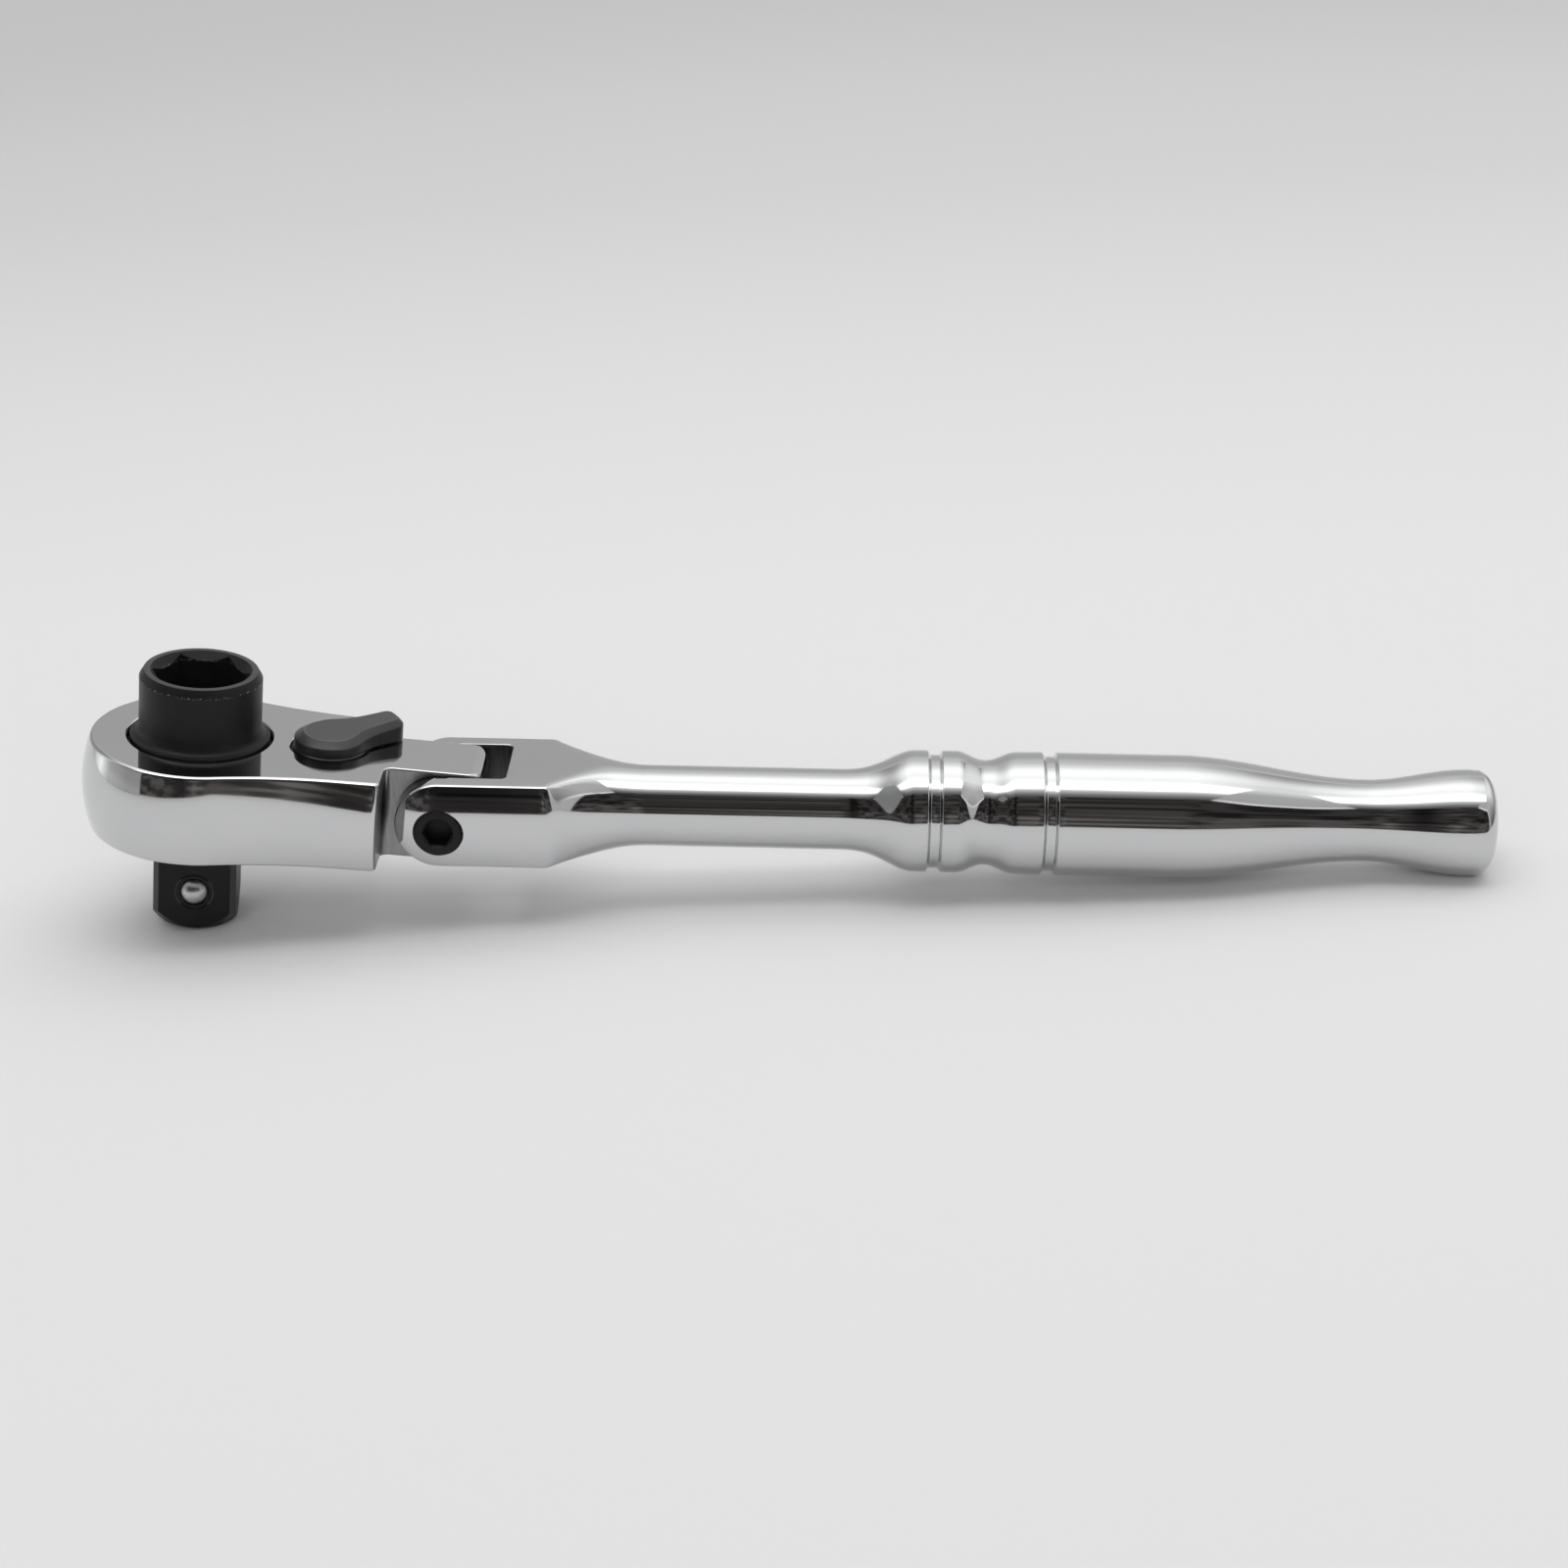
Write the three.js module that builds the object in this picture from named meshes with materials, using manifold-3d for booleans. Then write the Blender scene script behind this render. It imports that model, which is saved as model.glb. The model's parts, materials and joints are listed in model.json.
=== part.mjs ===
// Flex-head ratchet wrench: a square drive below its head, a hexagon socket above it.
// Millimetres. It lies on the bench, z = 0, on its drive and its knob.
// +X runs from the head to the knob, +Z is up, and the origin is below the middle of its box.

import * as THREE from 'three';
import { mergeVertices } from 'three/addons/utils/BufferGeometryUtils.js';
import Module from 'manifold-3d';

const wasm = await Module();
wasm.setup();

// Clearances
const seatGap = 0.1; // a fixed piece in its seat
const runGap = 0.08; // a turning or sliding piece in its bore
const meshGap = 0.12; // pawl teeth in the gear's tooth spaces
const meshShare = 0.25; // play of a pawl tooth, as a share of the gear's pitch
const cavityGap = 0.3; // round and above the gear
const fullTurn = 360; // degrees
const overrun = 1; // how far a cut runs past the face that it opens

// Square drive
const squareSize = 9.5;
const squareLength = 11;
const squareChamfer = 0.7;
const endFlatInset = 0.75; // flat end's rim, in from the flats
const endBevel = 0.45; // height of the bevel at the middle of a flat
const endSlope = 1.27; // rise of the end cone for each millimetre of radius
const endSides = 24; // sides of the end cone, one of them straight back at rest
const standFlat = 0.3; // height of the flats that the drive's end and the knob stand on

// Hexagon socket
const hexAcross = 9.6;
const hexDepth = 9.4;
const hexLead = 0.95; // lead-in cone, out from the flats
const hexLeadAngle = 45;
const socketWall = 1.43; // outside the hexagon's corners
const socketHeight = 8.1; // above the head's top
const socketBevelIn = 0.52;
const socketBevelDown = 0.9;

// Rotor between drive and socket
const flangeLip = 0.97; // flange beyond the socket
const flangeProud = 0.3; // above the head's top
const flareHeight = 1.2;
const boreGap = 0.34; // ring gap round the flange
const gearLip = 0.52; // gear beyond the head's bore, which holds it down
const toothHeight = 0.5;
const toothCount = 60;
const toothFlat = 0.15; // tip's share of the pitch
const hubLip = 0.76; // hub beyond the square's corners
const hubProud = 1; // below the head's underside
const rotorSealWire = 0.42; // radius of the ring's section
const washerThick = 0.4;

// Detent in the drive's near flat
const ballRadius = 1.75;
const ballHeight = 5.05; // above the drive's end
const ballSunk = 0.85; // centre below the flat
const ballLip = 0.2; // depth of the staked lip
const ballLipGap = 0.055; // lip round the ball
const ballBoreWall = 2.9; // left behind the bore
const ballSpringWire = 0.2;
const ballSpringInset = 0.5; // middle of the wire, in from the ball's radius
const ballSpringTurns = 4;

// Pawl
const pawlClear = 0.55; // back from the gear's tips
const pawlThick = 2.25;
const pawlPinSet = 1.2; // pin behind the pawl's gear side
const pawlPinRadius = 0.7;
const pawlPinSeat = 0.8; // depth of its seat in the roof
const pawlHalfAngle = 38;
const pawlPadAngle = 24; // where the teeth begin
const pawlDrop = 0.9; // below the roof
const pawlBase = 0.7; // above the cover
const pawlScoopGap = 0.1; // round the plunger's sweep
const pawlRock = 7.2; // from one end in mesh to the other
const pocketGap = 0.6; // pocket behind the pawl
const pocketSwing = 6; // degrees past each end of the pawl

// Reversing lever
const leverSetback = 4.45; // behind the pawl's pin
const leverLift = 0.25; // underside above the head's top
const leverRound = 4.15;
const leverTail = 8.85; // axis to tail end
const leverTailHalf = 1.95;
const leverTaper = 7; // lean of each flank of the tail
const leverHollow = 8; // radius between flank and round end
const leverTailCorner = 1.5;
const leverWall = 1.1; // upright wall at the round end
const leverWallTail = 1.9; // upright wall at the tail
const leverBevel = 1.1; // height of the bevel at the round end
const leverBevelTail = 0.55; // height of the bevel at the tail
const leverBevelRise = 0.65;
const shaftRadius = 2.6;
const shaftEndGap = 0.5; // above the cover
const leverHubLip = 1.65; // hub beyond the shaft
const leverHubDepth = 0.5; // below the head's top
const hubGap = 0.35; // well round the hub
const leverSealWire = 0.38;
const leverSealGap = 0.42; // inside the ring
const leverSealRoom = 0.07; // above and below the ring
const clipGrip = 0.4; // depth of its groove in the shaft
const clipLip = 0.45; // clip beyond the shaft
const clipThick = 0.5;
const clipDrop = 0.2; // below the roof
const clipMouth = 60; // open angle of the ring
const clipRoom = 0.85; // cavity round the clip

// Plunger in the lever's shaft
const plungerRadius = 0.8;
const plungerProud = 0.5; // tip beyond the shaft
const plungerLength = 2.6;
const plungerBoreWall = 0.8; // left behind the bore
const plungerSpringWire = 0.13;
const plungerSpringInset = 0.3; // middle of the wire, in from the plunger's radius
const plungerSpringTurns = 2.5;

// Base cover and its screws
const coverThick = 1.9;
const coverLip = 1.8; // beyond the gear
const coverRearSet = 2.4; // screws behind the lever's axis
const coverScrewSet = 1.3; // screws out from the lever's cavity
const coverScrewRim = 0.7; // cover round the screw heads
const screwRadius = 0.95;
const screwHeadLip = 0.85; // head beyond the shank
const screwLength = 5;
const screwHexRadius = 0.75;
const screwHexDepth = 0.7;

// Head housing
const headRim = 2.7; // at its widest, outside the cover
const headThick = 11;
const headBarrel = 18; // radius of the side wall's bulge, seen from the side
const headEdge = 0.35;
const shoulderWall = 4.5; // behind the cover's screws
const shoulderSide = 3.05; // outside the cover
const headBlend = 50; // hollow curve between the round head and the shoulders
const roofThick = 2.2;

// Hinge between the head's tongue and the handle's fork
const hingeDrop = 0.5; // below the middle of head and handle
const earGap = 1.09; // ears clear of the shoulders
const tongueHalf = 4.5;
const tongueReach = 4.5; // past the hinge
const tongueCorner = 1.5;
const tonguePlanCorner = 2;
const tongueRoot = 1; // fillet at the shoulder
const hingeGap = 0.45; // each side of the tongue
const slotRoom = 3; // behind the tongue, for its corners to swing
const slotCorner = 0.7;
const hingeScrewShoulder = 2.45;
const hingeHeadLip = 0.32; // head beyond the shoulder
const hingeThreadStep = 0.4; // thread inside the shoulder
const hingeScrewSink = 0.15; // ends below the fork's sides
const hingeHexAcross = 3.05;
const hingeHexDepth = 2.2;
const hingeWasherLip = 1.53; // washer beyond the screw's head

// Handle, from the fork to the knob
const handleLength = 120.9; // hinge to the knob's end
const earThick = 3.45;
const forkHeight = 10.3;
const forkEdge = 0.5;
const forkLength = 23.5; // hinge to the neck
const neckFlare = 17.2; // hollow curve from the neck up to the fork
const neckRadius = 4.7;
const neckOverBarrel = 4.2; // neck longer than the barrel
const neckRise = 7.8; // from the neck up to the front collar
const collarRadius = 7.08;
const frontCollar = 5.1;
const frontGroove = 2.6; // groove behind the collar's front
const waistFall = 3.3;
const waistRise = 3.6;
const waistRadius = 6.18;
const rearGroove = 3.8; // groove behind the rear collar's front
const grooveWidth = 1.45;
const grooveDepth = 0.5;
const barrelRadius = 7.14;
const tailTaper = 22;
const tailWaistRadius = 4.75;
const knobRise = 11.7;
const knobRadius = 6.2;
const knobLength = 2.7;
const knobCorner = 2;
const barSides = 36; // sides of the turned bar, one of them straight down

// Rest pose
const flexRest = 4.5; // head folded up from the handle's line
const leverRest = 35.5; // tail swung to the far side
const rotorClicks = 1; // teeth turned from the square-on position

// Radii that follow, from the drive's axis outwards
const endFlatRadius = squareSize / 2 - endFlatInset;
const hexCorner = hexAcross / Math.sqrt(3);
const hexLeadRadius = hexAcross / 2 + hexLead;
const socketRadius = hexCorner + socketWall;
const flangeRadius = socketRadius + flangeLip;
const hubRadius = Math.hypot(squareSize / 2, squareSize / 2 - squareChamfer) + hubLip;
const boreRadius = flangeRadius + boreGap;
const gearTip = boreRadius + gearLip;
const gearRoot = gearTip - toothHeight;
const toothPitch = fullTurn / toothCount;
const ballBoreDepth = squareSize - ballBoreWall;
const pawlInner = gearTip + pawlClear;
const pawlOuter = pawlInner + pawlThick;
const coverRadius = gearTip + coverLip;
const headRadius = coverRadius + headRim;

// Places along the head, behind the drive's axis
const pawlPinX = pawlInner + pawlPinSet;
const leverX = pawlPinX + leverSetback;
const coverRearX = leverX + coverRearSet;
const shoulderX = coverRearX + shoulderWall;
const hingeX = shoulderX + forkHeight / 2 + hingeDrop + earGap;

// Lever's fits
const leverHubRadius = shaftRadius + leverHubLip;
const hubWell = leverHubRadius + hubGap;
const hubWellDepth = leverHubDepth + 2 * (leverSealWire + leverSealRoom);
const leverSealRadius = shaftRadius + leverSealGap + leverSealWire;
const clipInner = shaftRadius - clipGrip;
const clipOuter = shaftRadius + clipLip;
const leverCavity = clipOuter + clipRoom;
const plungerReach = shaftRadius + plungerProud;
const plungerBoreBack = shaftRadius - plungerBoreWall;

// Cover's rear corners and screws
const screwHeadRadius = screwRadius + screwHeadLip;
const coverCorner = screwHeadRadius + coverScrewRim;
const coverRearHalf = leverCavity + coverScrewSet;
const shoulderHalf = coverRearHalf + coverCorner + shoulderSide;

// Hinge's fits
const slotHalf = tongueHalf + hingeGap;
const slotDepth = tongueReach + slotRoom;
const forkHalf = slotHalf + earThick;
const hingeScrewHead = hingeScrewShoulder + hingeHeadLip;
const hingeScrewThread = hingeScrewShoulder - hingeThreadStep;
const hingeWasherRadius = hingeScrewHead + hingeWasherLip;

// Stations along the handle, from the hinge: neck and barrel share the length that the rest leaves
const waistLength = waistFall + waistRise;
const endLength = tailTaper + knobRise + knobLength;
const straightLength = handleLength - forkLength - neckRise - frontCollar - waistLength - endLength;
const neckLength = (straightLength + neckOverBarrel) / 2;
const barrelLength = (straightLength - neckOverBarrel) / 2; // from the rear collar's front
const neckEnd = forkLength + neckLength;
const frontCollarX = neckEnd + neckRise;
const frontCollarEnd = frontCollarX + frontCollar;
const waistX = frontCollarEnd + waistFall;
const rearCollarX = waistX + waistRise;
const barrelEnd = rearCollarX + barrelLength;
const tailWaistX = barrelEnd + tailTaper;
const knobX = tailWaistX + knobRise;

// Heights in the head, whose top is z = 0
const baseZ = -headThick;
const midZ = baseZ / 2;
const hingeZ = midZ - hingeDrop;
const roofZ = -roofThick;
const coverTop = baseZ + coverThick;
const coverSeat = coverTop + seatGap;
const gearBottom = coverTop + washerThick + 2 * seatGap;
const gearTop = roofZ - cavityGap;
const plungerZ = (coverTop + roofZ) / 2;
const sealZ = roofZ / 2;
const squareTop = baseZ - hubProud;
const driveEnd = squareTop - squareLength;
const ballZ = driveEnd + ballHeight;

const rad = THREE.MathUtils.degToRad;

function finish(colour, roughness, metalness) {
  return new THREE.MeshStandardMaterial({ color: colour, roughness, metalness });
}

const chrome = finish(0xd8dadb, 0.06, 1);
const blackened = finish(0x1c1d1e, 0.45, 0.6);
const leverPaint = finish(0x4a4b4c, 0.5, 0.3);
const plainSteel = finish(0x9a9c9e, 0.3, 1);
const springSteel = finish(0x6f7276, 0.35, 1);
const rubber = finish(0x161616, 0.8, 0);

// Closed solid of a three.js geometry, ready to be joined and cut
function solidOf(geometry) {
  const bare = geometry.index ? geometry.toNonIndexed() : geometry.clone();
  bare.deleteAttribute('normal');
  bare.deleteAttribute('uv');
  const merged = mergeVertices(bare, 1e-4);
  const corners = merged.index.array;
  const triangles = [];
  for (let i = 0; i < corners.length; i += 3) {
    const [a, b, c] = [corners[i], corners[i + 1], corners[i + 2]];
    if (a !== b && b !== c && c !== a) triangles.push(a, b, c);
  }
  return new wasm.Manifold(new wasm.Mesh({
    numProp: 3,
    vertProperties: new Float32Array(merged.attributes.position.array),
    triVerts: new Uint32Array(triangles),
  }));
}

function geometryOf(solid) {
  const mesh = solid.getMesh();
  const geometry = new THREE.BufferGeometry();
  geometry.setAttribute('position', new THREE.BufferAttribute(new Float32Array(mesh.vertProperties), 3));
  geometry.setIndex(new THREE.BufferAttribute(new Uint32Array(mesh.triVerts), 1));
  return geometry;
}

function piece(name, shape, material) {
  const geometry = shape.isBufferGeometry ? shape : geometryOf(shape);
  const mesh = new THREE.Mesh(geometry, material);
  mesh.name = name;
  return mesh;
}

// Outline in plan, raised from one height to another
function upright(points, low, high) {
  const settings = { depth: high - low, bevelEnabled: false };
  return new THREE.ExtrudeGeometry(new THREE.Shape(points), settings).translate(0, 0, low);
}

// Outline in the side view, drawn out across the tool, with rounded rims if edge is given
function across(points, half, edge = 0) {
  const settings = {
    depth: 2 * (half - edge),
    bevelEnabled: edge > 0,
    bevelThickness: edge,
    bevelSize: edge,
    bevelOffset: -edge,
    bevelSegments: 2,
  };
  const geometry = new THREE.ExtrudeGeometry(new THREE.Shape(points), settings);
  return geometry.rotateX(Math.PI / 2).translate(0, half - edge, 0);
}

// Profile of radius and height turned about the upright axis, lowest point first
function turned(profile, segments = 40) {
  const points = profile.map(([radius, height]) => new THREE.Vector2(radius, height));
  return new THREE.LatheGeometry(points, segments).rotateX(Math.PI / 2);
}

function disc(radius, low, high, segments = 40) {
  return turned([[0, low], [radius, low], [radius, high], [0, high]], segments);
}

function ring(inner, outer, low, high, segments = 40) {
  return turned([[inner, low], [outer, low], [outer, high], [inner, high], [inner, low]], segments);
}

function sealRing(radius, wire, height, segments = 32, sides = 6) {
  const profile = arc(radius, height, wire, -180, 180, sides).map((p) => [p.x, p.y]);
  return turned(profile, segments);
}

// Points on an arc, from one angle to another
function arc(x, y, radius, from, to, steps) {
  const points = [];
  for (let i = 0; i <= steps; i += 1) {
    const angle = rad(from + ((to - from) * i) / steps);
    points.push(new THREE.Vector2(x + radius * Math.cos(angle), y + radius * Math.sin(angle)));
  }
  return points;
}

function polygon(sides, radius, turn = 0) {
  return arc(0, 0, radius, turn, turn + fullTurn - fullTurn / sides, sides - 1);
}

// Sector of a ring about the drive's axis
function sector(inner, outer, from, to, steps) {
  return [...arc(0, 0, outer, from, to, steps), ...arc(0, 0, inner, to, from, steps)];
}

// Stack of rings with equal counts of points, closed at both ends
function loft(rings) {
  const count = rings[0].length;
  const positions = rings.flat().flatMap((p) => [p.x, p.y, p.z]);
  const index = [];
  for (let level = 0; level < rings.length - 1; level += 1) {
    for (let i = 0; i < count; i += 1) {
      const next = (i + 1) % count;
      const [a, b] = [level * count + i, level * count + next];
      index.push(a, b, b + count, a, b + count, a + count);
    }
  }
  const flat = (ringPoints) => ringPoints.map((p) => new THREE.Vector2(p.x, p.y));
  const top = (rings.length - 1) * count;
  for (const [a, b, c] of THREE.ShapeUtils.triangulateShape(flat(rings[0]), [])) index.push(a, c, b);
  for (const [a, b, c] of THREE.ShapeUtils.triangulateShape(flat(rings.at(-1)), [])) {
    index.push(top + a, top + b, top + c);
  }
  const geometry = new THREE.BufferGeometry();
  geometry.setAttribute('position', new THREE.Float32BufferAttribute(positions, 3));
  return geometry.setIndex(index);
}

// Coil along +X from the origin, one unbroken wire with plain ends
class Coil extends THREE.Curve {
  constructor(radius, length, turns) {
    super();
    Object.assign(this, { radius, length, turns });
  }

  getPoint(t) {
    const angle = 2 * Math.PI * this.turns * t;
    const [y, z] = [this.radius * Math.cos(angle), this.radius * Math.sin(angle)];
    return new THREE.Vector3(this.length * t, y, z);
  }
}

function coilSpring(name, radius, wire, length, turns) {
  const curve = new Coil(radius, length, turns);
  const points = curve.getPoints(24 * turns);
  let gap = Infinity;
  for (let i = 0; i < points.length; i += 1) {
    for (let j = i + 12; j < points.length; j += 1) {
      gap = Math.min(gap, points[i].distanceTo(points[j]) - 2 * wire);
    }
  }
  console.log(`${name}: least gap to itself ${gap.toFixed(2)} mm`);
  const settings = { steps: 8 * turns, bevelEnabled: false, extrudePath: curve };
  return new THREE.ExtrudeGeometry(new THREE.Shape(polygon(5, wire)), settings);
}

// Gear outline: flat-topped teeth over sharp roots, the flat given by its share of the pitch
function gearOutline(tip, root, tipShare) {
  const points = [];
  for (let i = 0; i < toothCount; i += 1) {
    for (const [radius, place] of [[root, i], [tip, i + (1 - tipShare) / 2], [tip, i + (1 + tipShare) / 2]]) {
      const angle = rad(toothPitch * place);
      points.push(new THREE.Vector2(radius * Math.cos(angle), radius * Math.sin(angle)));
    }
  }
  return points;
}

// Pear outline of the head, drawn in by a margin all round but at the shoulders
function headOutline(margin) {
  const blendX = Math.sqrt((headRadius + headBlend) ** 2 - (shoulderHalf + headBlend) ** 2);
  const blendY = shoulderHalf + headBlend;
  const meet = THREE.MathUtils.radToDeg(Math.atan2(blendY, blendX));
  const hollow = headBlend + margin;
  const half = shoulderHalf - margin;
  return [
    new THREE.Vector2(shoulderX, half),
    ...arc(blendX, blendY, hollow, 270, 180 + meet, 4),
    ...arc(0, 0, headRadius - margin, meet, fullTurn - meet, 36).slice(1, -1),
    ...arc(blendX, -blendY, hollow, 180 - meet, 90, 4),
    new THREE.Vector2(shoulderX, -half),
  ];
}

function headShell() {
  const bulge = (z) => headBarrel - Math.sqrt(headBarrel ** 2 - (z - midZ) ** 2);
  const level = (z, rounding) => headOutline(bulge(z) + rounding).map((p) => new THREE.Vector3(p.x, p.y, z));
  const rim = [0, 45, 90].map((a) => [headEdge * Math.sin(rad(a)), headEdge * (1 - Math.cos(rad(a)))]);
  const rings = rim.map(([rise, inset]) => level(-headEdge + rise, inset)).reverse();
  const steps = 4;
  for (let i = 1; i < steps; i += 1) {
    rings.push(level(-headEdge - ((headThick - 2 * headEdge) * i) / steps, 0));
  }
  rings.push(...rim.map(([rise, inset]) => level(baseZ + headEdge - rise, inset)));
  return loft(rings.reverse());
}

// Tongue: its plan with root fillets, cut to its rounded side view
function tongue() {
  const endX = hingeX + tongueReach;
  const rootX = shoulderX + tongueRoot;
  const rootY = tongueHalf + tongueRoot;
  const cornerX = endX - tonguePlanCorner;
  const cornerY = tongueHalf - tonguePlanCorner;
  const innerX = leverX + leverCavity + overrun;
  const plan = [
    new THREE.Vector2(innerX, -rootY),
    ...arc(rootX, -rootY, tongueRoot, 180, 90, 4),
    ...arc(cornerX, -cornerY, tonguePlanCorner, -90, 0, 5),
    ...arc(cornerX, cornerY, tonguePlanCorner, 0, 90, 5),
    ...arc(rootX, rootY, tongueRoot, 270, 180, 4),
    new THREE.Vector2(innerX, rootY),
  ];
  const side = [
    new THREE.Vector2(innerX, baseZ),
    ...arc(endX - tongueCorner, baseZ + tongueCorner, tongueCorner, -90, 0, 5),
    ...arc(endX - tongueCorner, -tongueCorner, tongueCorner, 0, 90, 5),
    new THREE.Vector2(innerX, 0),
  ];
  return solidOf(upright(plan, baseZ, 0)).intersect(solidOf(across(side, rootY)));
}

// Outline of the base cover, grown by a margin for its seat
function coverOutline(margin) {
  const reach = Math.hypot(coverRearX, coverRearHalf);
  const aim = Math.atan2(coverRearHalf, coverRearX);
  const lean = Math.acos((coverRadius - coverCorner) / reach);
  const meet = THREE.MathUtils.radToDeg(aim + lean);
  const corner = coverCorner + margin;
  return [
    ...arc(coverRearX, coverRearHalf, corner, 0, meet, 5),
    ...arc(0, 0, coverRadius + margin, meet, fullTurn - meet, 32),
    ...arc(coverRearX, -coverRearHalf, corner, -meet, 0, 5),
  ];
}

function screwPlaces() {
  return [['near', -1], ['far', 1]].map(([side, sign]) => [side, coverRearX, sign * coverRearHalf]);
}

// Bore along Y through the hinge
function hingeBore(radius, half) {
  return disc(radius, -half, half, 40).rotateX(Math.PI / 2).translate(hingeX, 0, hingeZ);
}

function headHousing() {
  const sweep = pawlHalfAngle + pocketSwing;
  const pinTop = roofZ + pawlPinSeat + seatGap;
  const pocket = sector(gearRoot, pawlOuter + pocketGap, -sweep, sweep, 16);
  const cuts = [
    disc(boreRadius, baseZ, overrun),
    disc(gearTip + cavityGap, baseZ, roofZ),
    upright(pocket, baseZ, roofZ),
    disc(leverCavity, baseZ, roofZ).translate(leverX, 0, 0),
    disc(hubWell, -hubWellDepth, overrun).translate(leverX, 0, 0),
    disc(shaftRadius + runGap, roofZ - overrun, 0).translate(leverX, 0, 0),
    disc(pawlPinRadius + runGap, roofZ - overrun, pinTop, 20).translate(pawlPinX, 0, 0),
    upright(coverOutline(seatGap), baseZ - overrun, coverSeat),
    hingeBore(hingeScrewShoulder + runGap, forkHalf),
  ];
  for (const [, x, y] of screwPlaces()) {
    cuts.push(disc(screwRadius + seatGap, baseZ, baseZ + screwLength + seatGap, 20).translate(x, y, 0));
  }
  let solid = solidOf(headShell()).add(tongue());
  for (const cut of cuts) solid = solid.subtract(solidOf(cut));
  return piece('head_housing', solid, chrome);
}

function baseCover() {
  let solid = solidOf(upright(coverOutline(0), baseZ, coverTop));
  solid = solid.subtract(solidOf(disc(hubRadius + runGap, baseZ - overrun, coverTop + overrun)));
  for (const [, x, y] of screwPlaces()) {
    const hole = turned([
      [0, baseZ - seatGap],
      [screwHeadRadius + 2 * seatGap, baseZ - seatGap],
      [screwRadius + seatGap, baseZ + screwHeadLip],
      [screwRadius + seatGap, coverTop + overrun],
      [0, coverTop + overrun],
    ], 20);
    solid = solid.subtract(solidOf(hole.translate(x, y, 0)));
  }
  return piece('base_cover', solid, chrome);
}

function coverScrew(side, x, y) {
  const blank = turned([
    [0, baseZ],
    [screwHeadRadius, baseZ],
    [screwRadius, baseZ + screwHeadLip],
    [screwRadius, baseZ + screwLength],
    [0, baseZ + screwLength],
  ], 20);
  const recess = upright(polygon(6, screwHexRadius), baseZ - overrun, baseZ + screwHexDepth);
  const screw = piece(`cover_screw_${side}`, solidOf(blank).subtract(solidOf(recess)), blackened);
  screw.position.set(x, y, 0);
  return screw;
}

// Rotor, with its square's flats along X and Y
function driveRotor() {
  const half = squareSize / 2;
  const cut = half - squareChamfer;
  const quarter = [[half, -cut], [half, cut]];
  const square = [0, 90, 180, 270].flatMap((turn) => quarter.map(([x, y]) => (
    new THREE.Vector2(x, y).rotateAround(new THREE.Vector2(), rad(turn))
  )));
  const coneTop = Math.hypot(half, half);
  const endCone = turned([
    [0, driveEnd],
    [endFlatRadius, driveEnd],
    [half, driveEnd + endBevel],
    [coneTop, driveEnd + endBevel + endSlope * (coneTop - half)],
    [coneTop, gearBottom],
    [0, gearBottom],
  ], endSides).rotateZ(rad(fullTurn / endSides / 2) - rotorTurn);
  const drive = solidOf(upright(square, driveEnd, gearBottom))
    .intersect(solidOf(endCone));
  const flare = arc(flangeRadius, flangeProud + flareHeight, 1, 270, 180, 4).map((p) => [
    flangeRadius + (p.x - flangeRadius) * (flangeRadius - socketRadius),
    flangeProud + flareHeight + (p.y - flangeProud - flareHeight) * flareHeight,
  ]);
  const grooveRadius = boreRadius - runGap - 2 * rotorSealWire - runGap;
  const grooveHalf = rotorSealWire + runGap;
  const trunk = turned([
    [0, squareTop],
    [hubRadius, squareTop],
    [hubRadius, midZ],
    [flangeRadius, midZ],
    [flangeRadius, sealZ - grooveHalf],
    [grooveRadius, sealZ - grooveHalf],
    [grooveRadius, sealZ + grooveHalf],
    [flangeRadius, sealZ + grooveHalf],
    ...flare,
    [socketRadius, socketHeight - socketBevelDown],
    [socketRadius - socketBevelIn, socketHeight],
    [0, socketHeight],
  ]);
  const gear = upright(gearOutline(gearTip, gearRoot, toothFlat), gearBottom, gearTop);
  const leadDepth = hexLead * Math.tan(rad(hexLeadAngle));
  const lead = turned([
    [0, socketHeight - leadDepth],
    [hexAcross / 2, socketHeight - leadDepth],
    [hexLeadRadius, socketHeight],
    [hexLeadRadius, socketHeight + overrun],
    [0, socketHeight + overrun],
  ]);
  const boreRing = ballRadius + seatGap;
  const lipRing = Math.sqrt(ballRadius ** 2 - (ballSunk - ballLip) ** 2) + ballLipGap;
  const ballBore = turned([
    [0, -ballBoreDepth],
    [boreRing, -ballBoreDepth],
    [boreRing, -ballLip],
    [lipRing, -ballLip],
    [lipRing, overrun],
    [0, overrun],
  ], 28);
  const solid = drive
    .add(solidOf(trunk))
    .add(solidOf(gear))
    .subtract(solidOf(upright(polygon(6, hexCorner), socketHeight - hexDepth, socketHeight + overrun)))
    .subtract(solidOf(lead))
    .subtract(solidOf(ballBore.rotateX(Math.PI / 2).translate(0, -half, ballZ)))
    .subtract(solidOf(underBench().rotateZ(-rotorTurn)));
  return piece('drive_rotor', solid, blackened);
}

function rotorSeal() {
  const middle = boreRadius - runGap - rotorSealWire;
  return piece('rotor_seal', sealRing(middle, rotorSealWire, sealZ), rubber);
}

function thrustWasher() {
  const low = coverTop + seatGap;
  return piece('thrust_washer', ring(hubRadius + runGap, gearTip, low, low + washerThick), springSteel);
}

function detentBall() {
  const ball = piece('detent_ball', new THREE.SphereGeometry(ballRadius, 20, 12), plainSteel);
  ball.position.set(0, ballSunk - squareSize / 2, ballZ);
  return ball;
}

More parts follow.
